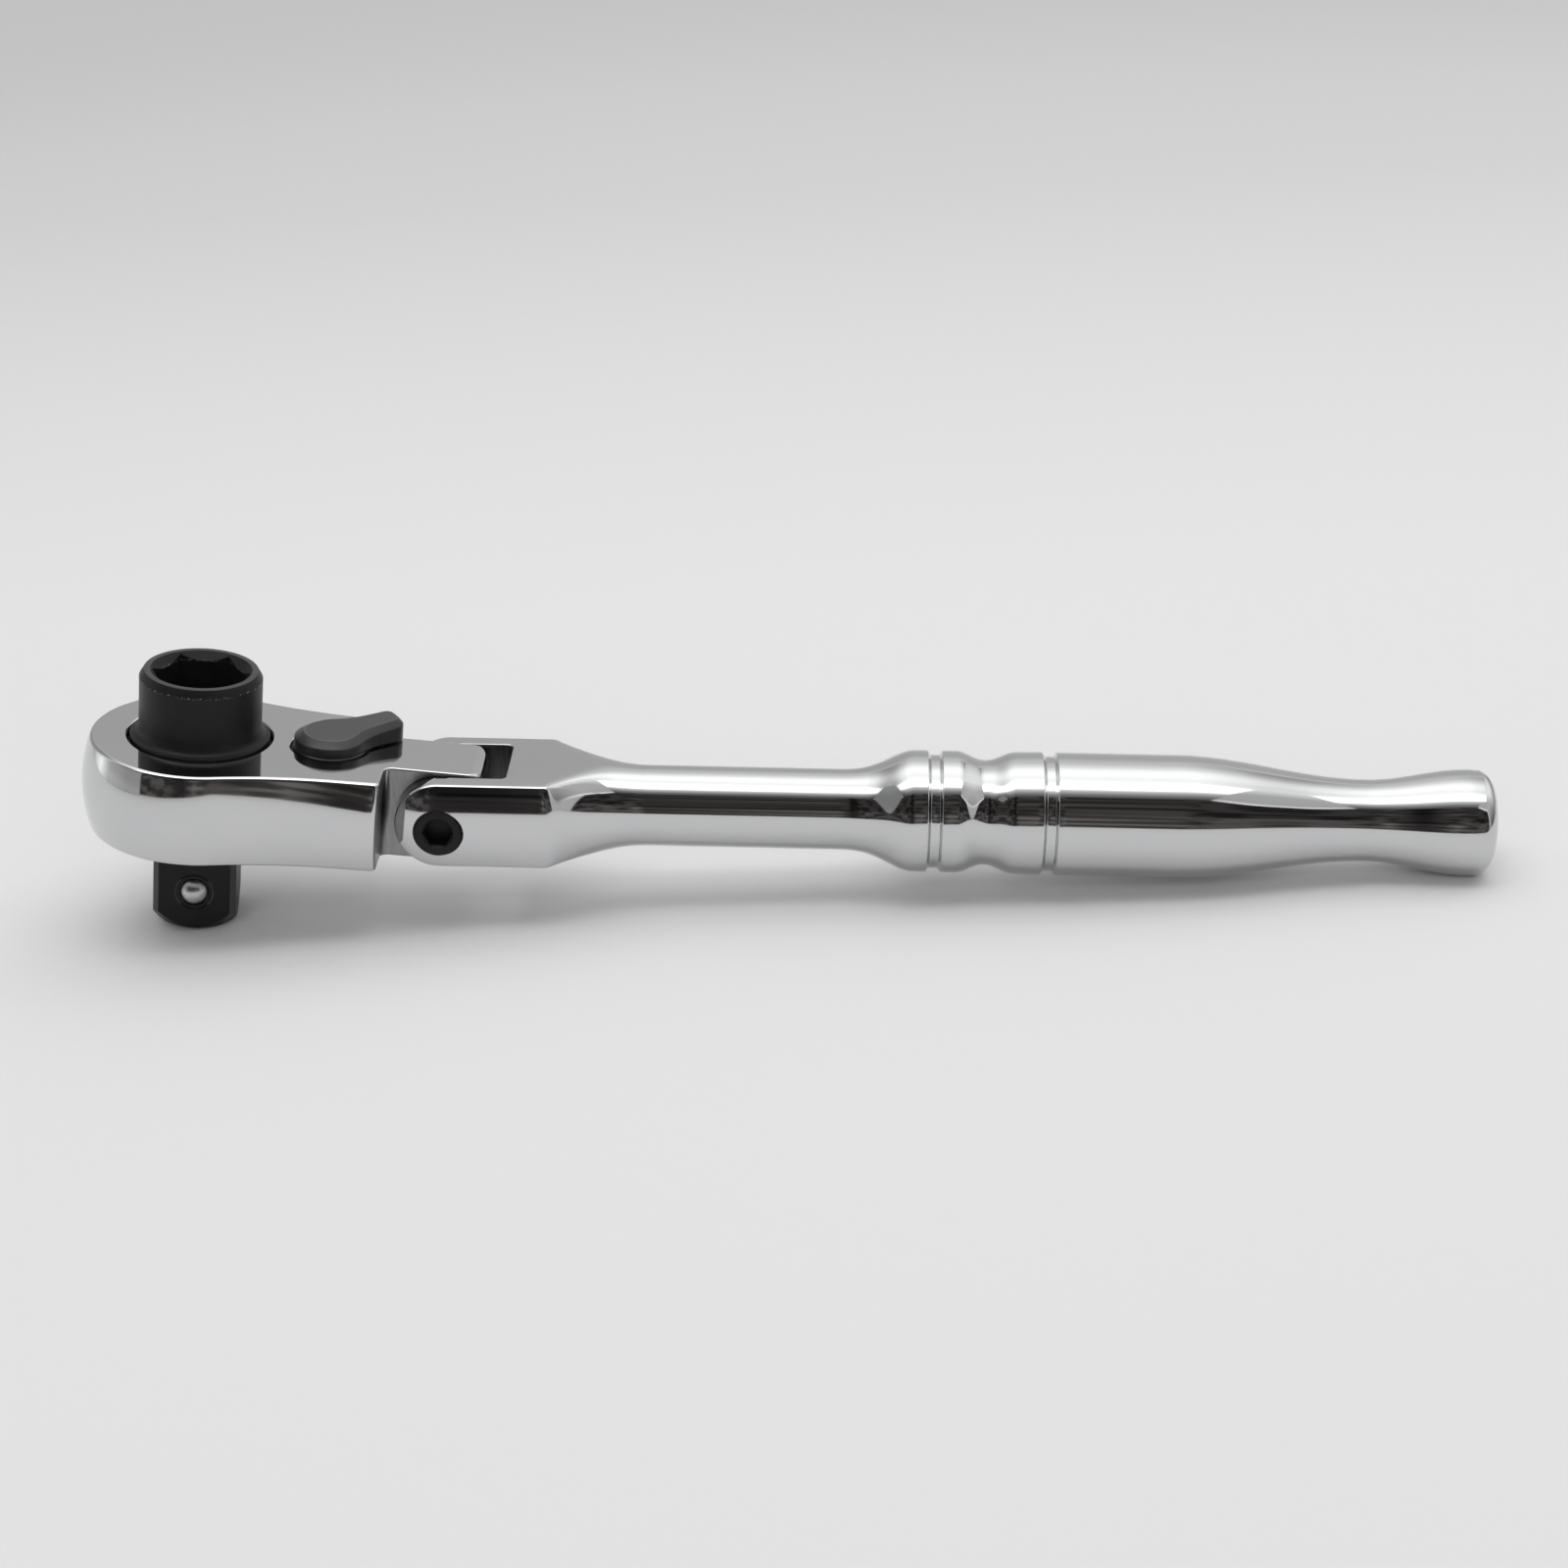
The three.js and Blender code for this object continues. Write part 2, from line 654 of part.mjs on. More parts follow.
function detentSpring() {
  const start = ballSunk + ballRadius + seatGap + ballSpringWire;
  const length = ballBoreDepth - seatGap - ballSpringWire - start;
  const radius = ballRadius - ballSpringInset;
  const wire = coilSpring('detent_spring', radius, ballSpringWire, length, ballSpringTurns);
  const spring = piece('detent_spring', wire.rotateZ(Math.PI / 2), springSteel);
  spring.position.set(0, start - squareSize / 2, ballZ);
  return spring;
}

// Pawl in its middle position, about its pin, with teeth that fit the gear at either end of its rock
function pawl() {
  const low = coverTop + pawlBase;
  const high = roofZ - pawlDrop;
  const spaces = gearOutline(gearTip + meshGap, gearRoot + meshGap, toothFlat + meshShare);
  const cutter = solidOf(upright(spaces, low - overrun, high + overrun));
  let solid = solidOf(upright(sector(pawlInner, pawlOuter, -pawlHalfAngle, pawlHalfAngle, 14), low, high));
  for (const side of [-1, 1]) {
    const ends = [pawlPadAngle, pawlHalfAngle].map((angle) => side * angle).sort((a, b) => a - b);
    const block = sector(gearRoot, pawlInner + pawlPinSet, ...ends, 5);
    const pad = solidOf(upright(block, low, high)).subtract(cutter);
    const turnedBack = geometryOf(pad)
      .translate(-pawlPinX, 0, 0)
      .rotateZ(rad((-side * pawlRock) / 2))
      .translate(pawlPinX, 0, 0);
    solid = solid.add(solidOf(turnedBack));
  }
  const scoop = disc(plungerReach + pawlScoopGap, low - overrun, high + overrun).translate(leverX, 0, 0);
  const pinHole = disc(pawlPinRadius + runGap, low - overrun, high + overrun, 20).translate(pawlPinX, 0, 0);
  solid = solid.subtract(solidOf(scoop)).subtract(solidOf(pinHole));
  const mesh = piece('pawl', geometryOf(solid).translate(-pawlPinX, 0, 0), plainSteel);
  mesh.position.x = pawlPinX;
  mesh.rotation.z = rad(-pawlRock / 2);
  return mesh;
}

function pawlPin() {
  const shape = disc(pawlPinRadius, coverTop + 2 * seatGap, roofZ + pawlPinSeat, 20);
  const pin = piece('pawl_pin', shape, plainSteel);
  pin.position.x = pawlPinX;
  return pin;
}

// Lever outline, tail along +X: round end, hollow flanks and tapering tail, drawn in by a margin
function leverOutline(margin) {
  const lean = rad(leverTaper);
  const side = new THREE.Vector2(Math.sin(lean), Math.cos(lean));
  const along = new THREE.Vector2(side.y, -side.x);
  const flank = side.dot(new THREE.Vector2(leverTail, leverTailHalf));
  const rise = flank + leverHollow;
  const hollow = side.clone().multiplyScalar(rise);
  hollow.addScaledVector(along, Math.sqrt((leverRound + leverHollow) ** 2 - rise ** 2));
  const meet = THREE.MathUtils.radToDeg(hollow.angle());
  const cornerX = leverTail - leverTailCorner;
  const cornerY = (flank - leverTailCorner - cornerX * side.x) / side.y;
  const drawn = (x, y, radius, from, to, steps) => {
    const [rim, middle] = [arc(x, y, Math.abs(radius), from, to, steps), new THREE.Vector2(x, y)];
    return rim.map((p) => p.clone().addScaledVector(middle.clone().sub(p), margin(p.x) / radius));
  };
  const upper = [
    ...drawn(cornerX, cornerY, leverTailCorner, 0, 90 - leverTaper, 4),
    ...drawn(hollow.x, hollow.y, -leverHollow, 270 - leverTaper, 180 + meet, 5),
    ...drawn(0, 0, leverRound, meet, 180, 12).slice(1),
  ];
  const lower = upper.slice(0, -1).reverse().map((p) => new THREE.Vector2(p.x, -p.y));
  return [...upper, ...lower];
}

function reverseLever() {
  const share = (x) => THREE.MathUtils.clamp(x / leverTail, 0, 1);
  const wallTop = (x) => leverLift + leverWall + (leverWallTail - leverWall) * share(x);
  const bevel = (x) => leverBevel + (leverBevelTail - leverBevel) * share(x);
  const full = leverOutline(() => 0);
  const drawnIn = leverOutline(bevel);
  const thumb = loft([
    full.map((p) => new THREE.Vector3(p.x, p.y, leverLift)),
    full.map((p) => new THREE.Vector3(p.x, p.y, wallTop(p.x))),
    drawnIn.map((p) => new THREE.Vector3(p.x, p.y, wallTop(p.x) + leverBevelRise)),
  ]);
  const clipTop = roofZ - clipDrop;
  const shaft = turned([
    [0, coverTop + shaftEndGap],
    [shaftRadius, coverTop + shaftEndGap],
    [shaftRadius, clipTop - clipThick - seatGap],
    [clipInner - seatGap, clipTop - clipThick - seatGap],
    [clipInner - seatGap, clipTop + seatGap],
    [shaftRadius, clipTop + seatGap],
    [shaftRadius, -leverHubDepth],
    [leverHubRadius, -leverHubDepth],
    [leverHubRadius, leverLift / 2],
    [leverRound - leverWall, leverLift + leverWall],
    [0, leverLift + leverWall],
  ]);
  const bore = disc(plungerRadius + runGap, -plungerBoreBack, leverRound, 20)
    .rotateY(-Math.PI / 2)
    .translate(0, 0, plungerZ);
  const solid = solidOf(thumb).add(solidOf(shaft)).subtract(solidOf(bore));
  return piece('reverse_lever', solid, leverPaint);
}

function leverSeal() {
  const middle = -(leverHubDepth + hubWellDepth) / 2;
  return piece('lever_seal', sealRing(leverSealRadius, leverSealWire, middle, 28), rubber);
}

function leverClip() {
  const high = roofZ - clipDrop;
  const outline = sector(clipInner, clipOuter, clipMouth / 2, fullTurn - clipMouth / 2, 20);
  return piece('lever_clip', upright(outline, high - clipThick, high), springSteel);
}

// Round-nosed plunger, pointing away from the lever's tail
function leverPlunger() {
  const noseCentre = plungerReach - plungerRadius;
  const nose = arc(0, noseCentre, plungerRadius, 0, 90, 4).map((p) => [Math.max(p.x, 0), p.y]);
  const profile = [[0, plungerReach - plungerLength], [plungerRadius, plungerReach - plungerLength], ...nose];
  profile.at(-1)[0] = 0;
  const plunger = turned(profile, 20).rotateY(-Math.PI / 2).translate(0, 0, plungerZ);
  return piece('lever_plunger', plunger, plainSteel);
}

function plungerSpring() {
  const start = seatGap + plungerSpringWire - plungerBoreBack;
  const length = plungerReach - plungerLength - seatGap - plungerSpringWire - start;
  const radius = plungerRadius - plungerSpringInset;
  const wire = coilSpring('plunger_spring', radius, plungerSpringWire, length, plungerSpringTurns);
  return piece('plunger_spring', wire.rotateZ(Math.PI).translate(-start, 0, plungerZ), springSteel);
}

// Smooth run between two radii along the handle
function ease(from, to, steps) {
  const points = [];
  for (let i = 0; i <= steps; i += 1) {
    const share = i / steps;
    const lift = (1 - Math.cos(Math.PI * share)) / 2;
    points.push([from[0] + (to[0] - from[0]) * lift, from[1] + (to[1] - from[1]) * share]);
  }
  return points;
}

function groove(radius, x) {
  const half = grooveWidth / 2;
  const floor = radius - grooveDepth;
  return [[radius, x - half], [floor, x - half / 2], [floor, x + half / 2], [radius, x + half]];
}

// Rounded rim of the knob's end, from its widest point
function knobRim() {
  return arc(handleLength - knobCorner, knobRadius - knobCorner, knobCorner, 80, 0, 4);
}

// Radius along the handle, from inside the fork to the knob's end
function handleProfile() {
  const flareTop = Math.hypot(forkHalf, forkHeight / 2) + overrun;
  const flareAngle = THREE.MathUtils.radToDeg(Math.acos(1 - (flareTop - neckRadius) / neckFlare));
  const flareY = neckRadius + neckFlare;
  const flare = arc(forkLength, flareY, neckFlare, 270 - flareAngle, 270, 8).map((p) => [p.y, p.x]);
  const knob = knobRim().map((p) => [p.y, p.x]);
  return [
    [0, -forkHeight],
    [flareTop, -forkHeight],
    ...flare,
    ...ease([neckRadius, neckEnd], [collarRadius, frontCollarX], 5),
    ...groove(collarRadius, frontCollarX + frontGroove),
    ...ease([collarRadius, frontCollarEnd], [waistRadius, waistX], 3),
    ...ease([waistRadius, waistX], [collarRadius, rearCollarX], 3).slice(1),
    ...groove(barrelRadius, rearCollarX + rearGroove),
    ...ease([barrelRadius, barrelEnd], [tailWaistRadius, tailWaistX], 7),
    ...ease([tailWaistRadius, tailWaistX], [knobRadius, knobX], 5).slice(1),
    ...knob,
    [0, handleLength],
  ];
}

function handle() {
  const halfHeight = forkHeight / 2;
  const forkEnd = forkLength - overrun;
  const side = [
    ...arc(0, 0, halfHeight, 90, 270, 18),
    new THREE.Vector2(forkEnd, -halfHeight),
    new THREE.Vector2(forkEnd, halfHeight),
  ];
  const block = solidOf(across(side, forkHalf, forkEdge));
  const reach = 3 * barrelRadius;
  const restX = handleLength / 2 + forkEnd - overrun;
  const rest = new THREE.BoxGeometry(handleLength, reach, reach).translate(restX, 0, 0);
  const bar = turned(handleProfile(), barSides).rotateZ(rad(fullTurn / barSides / 2));
  const turnedBar = solidOf(bar.rotateY(Math.PI / 2));
  const cornerX = slotDepth - slotCorner;
  const cornerY = slotHalf - slotCorner;
  const slot = [
    new THREE.Vector2(-forkHeight, -slotHalf),
    ...arc(cornerX, -cornerY, slotCorner, -90, 0, 3),
    ...arc(cornerX, cornerY, slotCorner, 0, 90, 3),
    new THREE.Vector2(-forkHeight, slotHalf),
  ];
  const screwBore = turned([
    [0, -forkHalf - overrun],
    [hingeScrewThread + runGap, -forkHalf - overrun],
    [hingeScrewThread + runGap, 0],
    [hingeScrewHead + runGap, 0],
    [hingeScrewHead + runGap, forkHalf + overrun],
    [0, forkHalf + overrun],
  ], 40).rotateX(Math.PI / 2).translate(0, 0, -hingeDrop);
  const bench = underBench().applyMatrix4(grip.matrixWorld.clone().invert()).translate(0, 0, -hingeDrop);
  const solid = turnedBar
    .intersect(block.add(solidOf(rest)))
    .subtract(solidOf(upright(slot, -forkHeight, forkHeight)))
    .subtract(solidOf(screwBore))
    .subtract(solidOf(bench));
  const mesh = piece('handle', solid, chrome);
  mesh.position.z = hingeDrop;
  return mesh;
}

// Pivot screw: head in the near ear, shoulder through the tongue, thread in the far ear
function hingeScrew() {
  const end = forkHalf - hingeScrewSink;
  const blank = turned([
    [0, -end],
    [hingeScrewThread, -end],
    [hingeScrewThread, -slotHalf],
    [hingeScrewShoulder, -slotHalf + seatGap],
    [hingeScrewShoulder, slotHalf + seatGap],
    [hingeScrewHead, slotHalf + seatGap],
    [hingeScrewHead, end],
    [0, end],
  ], 40);
  const recess = upright(polygon(6, hingeHexAcross / Math.sqrt(3)), end - hingeHexDepth, end + overrun);
  const solid = solidOf(blank).subtract(solidOf(recess));
  return piece('hinge_screw', geometryOf(solid).rotateX(Math.PI / 2), blackened);
}

function frictionWasher(side, sign) {
  const half = (hingeGap - 2 * runGap) / 2;
  const washer = ring(hingeScrewShoulder + runGap, hingeWasherRadius, -half, half, 28).rotateX(Math.PI / 2);
  const mesh = piece(`friction_washer_${side}`, washer, springSteel);
  mesh.position.y = sign * (tongueHalf + hingeGap / 2);
  return mesh;
}

// The tool tips until the drive's end and the knob both touch the bench
const rotorTurn = rad(rotorClicks * toothPitch);
const grip = new THREE.Group();
grip.position.set(hingeX, 0, hingeZ);
grip.rotation.y = rad(-flexRest);
grip.updateMatrixWorld(true);
const rim = knobRim()[0];
const rimFoot = rim.y * Math.cos(Math.PI / barSides);
const knobFoot = grip.localToWorld(new THREE.Vector3(rim.x, 0, hingeDrop - rimFoot));
const driveFoot = endFlatRadius * Math.cos(Math.PI / endSides);
const tilt = Math.atan2(knobFoot.z - driveEnd, knobFoot.x - driveFoot);

// Space below the bench, in the head's frame, which cuts the flats that the tool stands on
function underBench() {
  const size = 4 * handleLength;
  return new THREE.BoxGeometry(size, size, size)
    .translate(0, 0, standFlat - size / 2)
    .rotateY(-tilt)
    .translate(driveFoot, 0, driveEnd);
}

// Rotor with what turns with it
const rotor = new THREE.Group();
rotor.add(driveRotor(), rotorSeal(), detentBall(), detentSpring());
rotor.rotation.z = rotorTurn;

// Lever with what swings with it
const lever = new THREE.Group();
lever.add(reverseLever(), leverSeal(), leverClip(), leverPlunger(), plungerSpring());
lever.position.x = leverX;
lever.rotation.z = rad(leverRest);

const head = new THREE.Group();
head.add(headHousing(), baseCover(), thrustWasher(), pawl(), pawlPin(), rotor, lever);
for (const [side, x, y] of screwPlaces()) head.add(coverScrew(side, x, y));

grip.add(handle(), hingeScrew(), frictionWasher('near', -1), frictionWasher('far', 1));

const tool = new THREE.Group();
tool.add(head, grip);
tool.rotation.y = tilt;
tool.updateMatrixWorld(true);
const box = new THREE.Box3().setFromObject(tool, true);
tool.position.set(-(box.min.x + box.max.x) / 2, -(box.min.y + box.max.y) / 2, -box.min.z);

export default tool;
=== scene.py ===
# %% [markdown]
# # A flex-head ratchet, dressed for its picture
# The solids of the tool come in as a fixed frame, in metres. They are right in size and place but
# made of flat facets, and plated steel is a mirror that shows every facet. So the pieces that show
# are modelled again here as fine meshes, in the same place, and take the place of their solids.

# %% Load the frame
import json
import math

import bpy
import bmesh
import numpy as np
from mathutils import Matrix, Vector


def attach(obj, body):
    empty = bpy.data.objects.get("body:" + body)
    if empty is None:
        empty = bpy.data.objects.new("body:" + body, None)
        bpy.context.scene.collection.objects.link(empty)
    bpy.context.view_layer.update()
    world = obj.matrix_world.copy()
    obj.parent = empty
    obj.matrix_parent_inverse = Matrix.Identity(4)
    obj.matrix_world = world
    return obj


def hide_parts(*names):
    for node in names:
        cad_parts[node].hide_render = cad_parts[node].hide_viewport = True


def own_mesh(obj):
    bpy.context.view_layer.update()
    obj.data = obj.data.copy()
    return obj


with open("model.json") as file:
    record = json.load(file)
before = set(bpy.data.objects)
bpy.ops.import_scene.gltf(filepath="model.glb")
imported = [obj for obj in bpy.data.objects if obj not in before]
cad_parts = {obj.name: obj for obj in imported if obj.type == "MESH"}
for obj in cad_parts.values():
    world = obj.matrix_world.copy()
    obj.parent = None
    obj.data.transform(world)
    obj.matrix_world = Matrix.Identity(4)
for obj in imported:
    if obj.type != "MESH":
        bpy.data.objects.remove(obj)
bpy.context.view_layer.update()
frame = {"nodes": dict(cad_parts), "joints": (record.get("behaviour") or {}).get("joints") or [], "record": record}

joints = {joint["name"]: joint for joint in frame["joints"]}
scene = bpy.context.scene

# %% [markdown]
# ## Places
# Sizes of pieces are written in millimetres, in the drawing frame of the piece's own group: the
# head, the rotor in it, the lever on it, and the handle. One matrix for each group brings them to
# metres and to their place. The joints in the frame say where those groups sit, so nothing is
# placed by eye.

# %% Matrices that place a piece
FLEX_REST = math.radians(4.5)
ROTOR_REST = math.radians(6)
LEVER_REST = math.radians(35.5)
HINGE_DROP = 0.5
MILLIMETRES = Matrix.Scale(0.001, 4)

rotor_axis = Vector(joints["rotor_spin"]["axis"])
head_tilt = math.atan2(rotor_axis.x, rotor_axis.z)


def shift(x=0.0, y=0.0, z=0.0):
    return Matrix.Translation((x, y, z))


def placed(joint, tilt, turn=0.0):
    place = shift(*joints[joint]["pos_m"])
    return place @ Matrix.Rotation(tilt, 4, "Y") @ Matrix.Rotation(turn, 4, "Z") @ MILLIMETRES


in_head = placed("rotor_spin", head_tilt)
in_rotor = placed("rotor_spin", head_tilt, ROTOR_REST)
in_lever = placed("lever_swing", head_tilt, LEVER_REST)
in_hinge = placed("head_flex", head_tilt - FLEX_REST)
in_handle = in_hinge @ shift(z=HINGE_DROP)
print("head tilt", round(math.degrees(head_tilt), 3))

# %% [markdown]
# ## Nodes by expression
# Materials and Geometry Nodes are both graphs. Written out node by node they are long, so one
# small class wraps a socket: a sum or product of sockets adds the Math nodes for it. Every other
# node comes from one method, which takes its type, its settings and what goes into its sockets.

# %% The socket and the graph it belongs to
def operator(operation, reflected=False):
    """The method for one sign; the reflected one has its socket on the right."""
    def method(wire, other):
        return wire.maths(operation, *((other, wire) if reflected else (wire, other)))
    return method


class Wire:
    def __init__(self, graph, socket):
        self.graph = graph
        self.socket = socket

    def maths(self, operation, first, second=0.0, third=0.0):
        values = {0: first, 1: second, 2: third}
        return self.graph.node("ShaderNodeMath", {"operation": operation}, values)

    __add__, __radd__ = operator("ADD"), operator("ADD", True)
    __sub__, __rsub__ = operator("SUBTRACT"), operator("SUBTRACT", True)
    __mul__, __rmul__ = operator("MULTIPLY"), operator("MULTIPLY", True)
    __truediv__, __rtruediv__ = operator("DIVIDE"), operator("DIVIDE", True)
    __lt__, __gt__ = operator("LESS_THAN"), operator("GREATER_THAN")


class Graph:
    def __init__(self, tree):
        self.tree = tree

    def join(self, value, socket):
        if isinstance(value, Wire):
            self.tree.links.new(value.socket, socket)
        else:
            socket.default_value = value

    def node(self, kind, settings, inputs, output=0):
        node = self.tree.nodes.new(kind)
        for name, value in settings.items():
            if name == "stops":
                self.set_stops(node.color_ramp, value)
            else:
                setattr(node, name, value)
        for socket, value in inputs.items():
            self.join(value, node.inputs[socket])
        return Wire(self, node.outputs[output])

    def set_stops(self, ramp, stops):
        while len(ramp.elements) < len(stops):
            ramp.elements.new(1.0)
        for element, (place, grey) in zip(ramp.elements, stops):
            element.position = place
            element.color = (grey, grey, grey, 1)


print("wire and graph ready")

# %% [markdown]
# ## Finishes
# Each finish is one Principled shader. What changes over its surface is a noise in millimetres,
# read from the piece's own coordinates, and goes into colour, roughness and a shallow bump.

# %% Helpers for finishes
PER_MM = 1000.0


class Finish(Graph):
    def __init__(self, name, colour, metallic, roughness):
        self.material = bpy.data.materials.new(name)
        self.material.use_nodes = True
        super().__init__(self.material.node_tree)
        self.shader = self.tree.nodes["Principled BSDF"]
        self.put("Base Color", (*colour, 1))
        self.put("Metallic", metallic)
        self.put("Roughness", roughness)
        self.place = self.node("ShaderNodeTexCoord", {}, {}, "Object")

    def put(self, name, value):
        self.join(value, self.shader.inputs[name])

    def noise(self, size_mm, detail=2.0, stretch=(1, 1, 1)):
        settings, values = {"operation": "MULTIPLY"}, {0: self.place, 1: stretch}
        scaled = self.node("ShaderNodeVectorMath", settings, values)
        values = {"Vector": scaled, "Scale": PER_MM / size_mm, "Detail": detail}
        return self.node("ShaderNodeTexNoise", {}, values, "Fac")

    def mixed(self, amount, first, second):
        values = {0: amount, 6: first, 7: second}
        return self.node("ShaderNodeMix", {"data_type": "RGBA"}, values, 2)

    def blend(self, amount, first, second):
        return self.mixed(amount, (*first, 1), (*second, 1))

    def marked(self):
        return self.node("ShaderNodeAttribute", {"attribute_name": "marked"}, {}, "Fac")

    def done(self, colour, roughness, height=None, depth_mm=0.0, strength=0.0):
        self.put("Base Color", colour)
        self.put("Roughness", roughness)
        if height:
            values = {"Strength": strength, "Distance": depth_mm / PER_MM, "Height": height}
            self.put("Normal", self.node("ShaderNodeBump", {}, values))
        print("finish", self.material.name)
        return self.material


def stepped(graph, value, low, high):
    stops = [(low, 0.0), (high, 1.0)]
    return graph.node("ShaderNodeValToRGB", {"stops": stops}, {0: value})


print("finish helpers ready")

# %% [markdown]
# Plated steel is buffed before it is plated, so it is a mirror with a very slight swell, hardly
# visible wipe marks along the tool, and a film that dulls it here and there. A buffing wheel can't
# reach into the slot or round the tongue, so the faces marked there stay rougher and streaked, and
# their colour is painted darker there as painted shade for these recesses.

# %% Plated steel
def plated_steel():
    finish = Finish("plated_steel", (0.63, 0.635, 0.64), 1.0, 0.05)
    swell = finish.noise(7.0, 1.0)
    wipe = finish.noise(0.5, 3.0, (0.08, 1, 1))
    film = finish.noise(5.0, 4.0)
    # Marked faces in the slot, round the tongue and in the lever's well: rougher and streaked, and painted darker
    # as painted shade.
    shaded_machined = finish.marked()
    streak = finish.noise(0.3, 3.0, (1, 1, 0.06))
    polished = finish.blend(film, (0.615, 0.62, 0.625), (0.65, 0.652, 0.655))
    shaded_milled = finish.blend(streak, (0.16, 0.16, 0.16), (0.42, 0.42, 0.42))
    colour = finish.mixed(shaded_machined, polished, shaded_milled)
    smooth = 0.035 + 0.03 * film + 0.025 * wipe
    return finish.done(colour, smooth + shaded_machined * (0.2 + 0.15 * streak), swell, 0.012, 0.3)


chrome = plated_steel()

# %% [markdown]
# The rotor and the screws are blackened: a thin dark layer with a fine grain, a little oil in it,
# and bare specks where an edge has been rubbed. The edge is found by the height that each point
# of the rotor keeps as an attribute. The top face of the socket's rim and the corner flats of the
# square are marked and painted paler, a painted sheen for the light they catch.

# %% Blackened steel
WORN_EDGE, WORN_HALF = 7.2, 0.09


def blackened_steel(name, worn):
    finish = Finish(name, (0.012, 0.012, 0.012), 0.0, 0.4)
    finish.put("Specular IOR Level", 0.22)
    grain = finish.noise(0.16, 2.0)
    cloud = finish.noise(2.5, 3.0)
    colour = finish.blend(cloud, (0.005, 0.005, 0.005), (0.011, 0.011, 0.0107))
    if worn:
        drawn = finish.node("ShaderNodeAttribute", {"attribute_name": "drawn"}, {}, "Vector")
        height = finish.node("ShaderNodeSeparateXYZ", {}, {0: drawn}, 2)
        distance = height.maths("ABSOLUTE", height - WORN_EDGE)
        band = distance < WORN_HALF
        specks = stepped(finish, finish.noise(0.22, 3.0), 0.56, 0.66)
        # Painted sheen: the marked rim and corner faces are painted paler for the light they catch.
        painted_sheen = finish.mixed(finish.marked(), colour, (0.06, 0.06, 0.059, 1))
        colour = finish.mixed(band * specks, painted_sheen, (0.2, 0.2, 0.2, 1))
    return finish.done(colour, 0.36 + 0.1 * cloud, grain, 0.016, 0.3)


black_rotor = blackened_steel("blackened_rotor", True)
black_screw = blackened_steel("blackened_screw", False)

# %% [markdown]
# The lever is cast and coated dark grey, with a fine orange-peel grain that blurs its reflections.
# Its top, its bevel and most of all the edges between them are marked and painted paler: painted light from above
# and a painted highlight along the edges.

# %% Coated lever
def lever_coat():
    finish = Finish("lever_coat", (0.03, 0.0305, 0.0315), 0.0, 0.35)
    finish.put("Specular IOR Level", 0.4)
    grain = finish.noise(0.22, 2.0)
    cloud = finish.noise(3.0, 3.0)
    coat = finish.blend(cloud, (0.012, 0.012, 0.0124), (0.018, 0.0182, 0.0187))
    # Painted sheen: the marked top faces are painted paler for the light from above, palest on the edges.
    painted_sheen = finish.blend(cloud, (0.075, 0.0756, 0.077), (0.1, 0.101, 0.103))
    colour = finish.mixed(finish.marked(), coat, painted_sheen)
    return finish.done(colour, 0.28 + 0.1 * cloud, grain, 0.016, 0.25)


grey_coat = lever_coat()

# %% [markdown]
# The ball is scuffed by the sockets that have snapped over it. Inside are plain ground steel,
# spring steel and rubber. They hardly show, but each has its own grain: along the wipe for ground
# steel, mottled for spring steel, and dull for rubber.

# %% Steels and rubber
def grained(name, colour, metallic, rough, grain, dark, pale, *relief):
    """A finish of one grain, from dark and smooth to pale and rough, with relief if it has any."""
    finish = Finish(name, colour, metallic, rough[0])
    amount = finish.noise(*grain)
    raised = (amount, *relief) if relief else ()
    return finish.done(finish.blend(amount, dark, pale), rough[1] + rough[2] * amount, *raised)


def grey(level):
    return level, level, level


bright_steel = grained(
    "bright_steel", (0.6, 0.61, 0.62), 1.0, (0.12, 0.07, 0.08), (0.3, 3.0, (0.2, 1, 1)),
    (0.56, 0.57, 0.58), (0.64, 0.65, 0.66),
)
scuffed_ball = grained(
    "ball_steel", grey(0.62), 1.0, (0.3, 0.24, 0.14), (0.25, 3.0), grey(0.56), grey(0.66)
)
dull_steel = grained(
    "spring_steel", (0.35, 0.36, 0.38), 1.0, (0.3, 0.24, 0.16), (0.8, 4.0),
    (0.28, 0.29, 0.31), (0.42, 0.43, 0.45),
)
rubber = grained(
    "seal_rubber", grey(0.02), 0.0, (0.7, 0.6, 0.2), (0.6, 4.0), grey(0.014), grey(0.03), 0.01, 0.2
)

# %% [markdown]
# ## Tools for shapes
# Most pieces here were turned, drawn out along a line or cut, so four helpers make nearly all of
# them: an arc, a polyline with its corners eased, a turned shape, and a stack of outlines. Cuts
# are exact booleans on these meshes.

# %% Outlines
NEARLY_STRAIGHT, ROOM_SHARE = math.radians(87), 0.45


def fan(start, end, steps):
    return np.radians(np.linspace(start, end, steps + 1))


def arc(x, y, radius, *sweep):
    return [(x + radius * math.cos(a), y + radius * math.sin(a)) for a in fan(*sweep)]


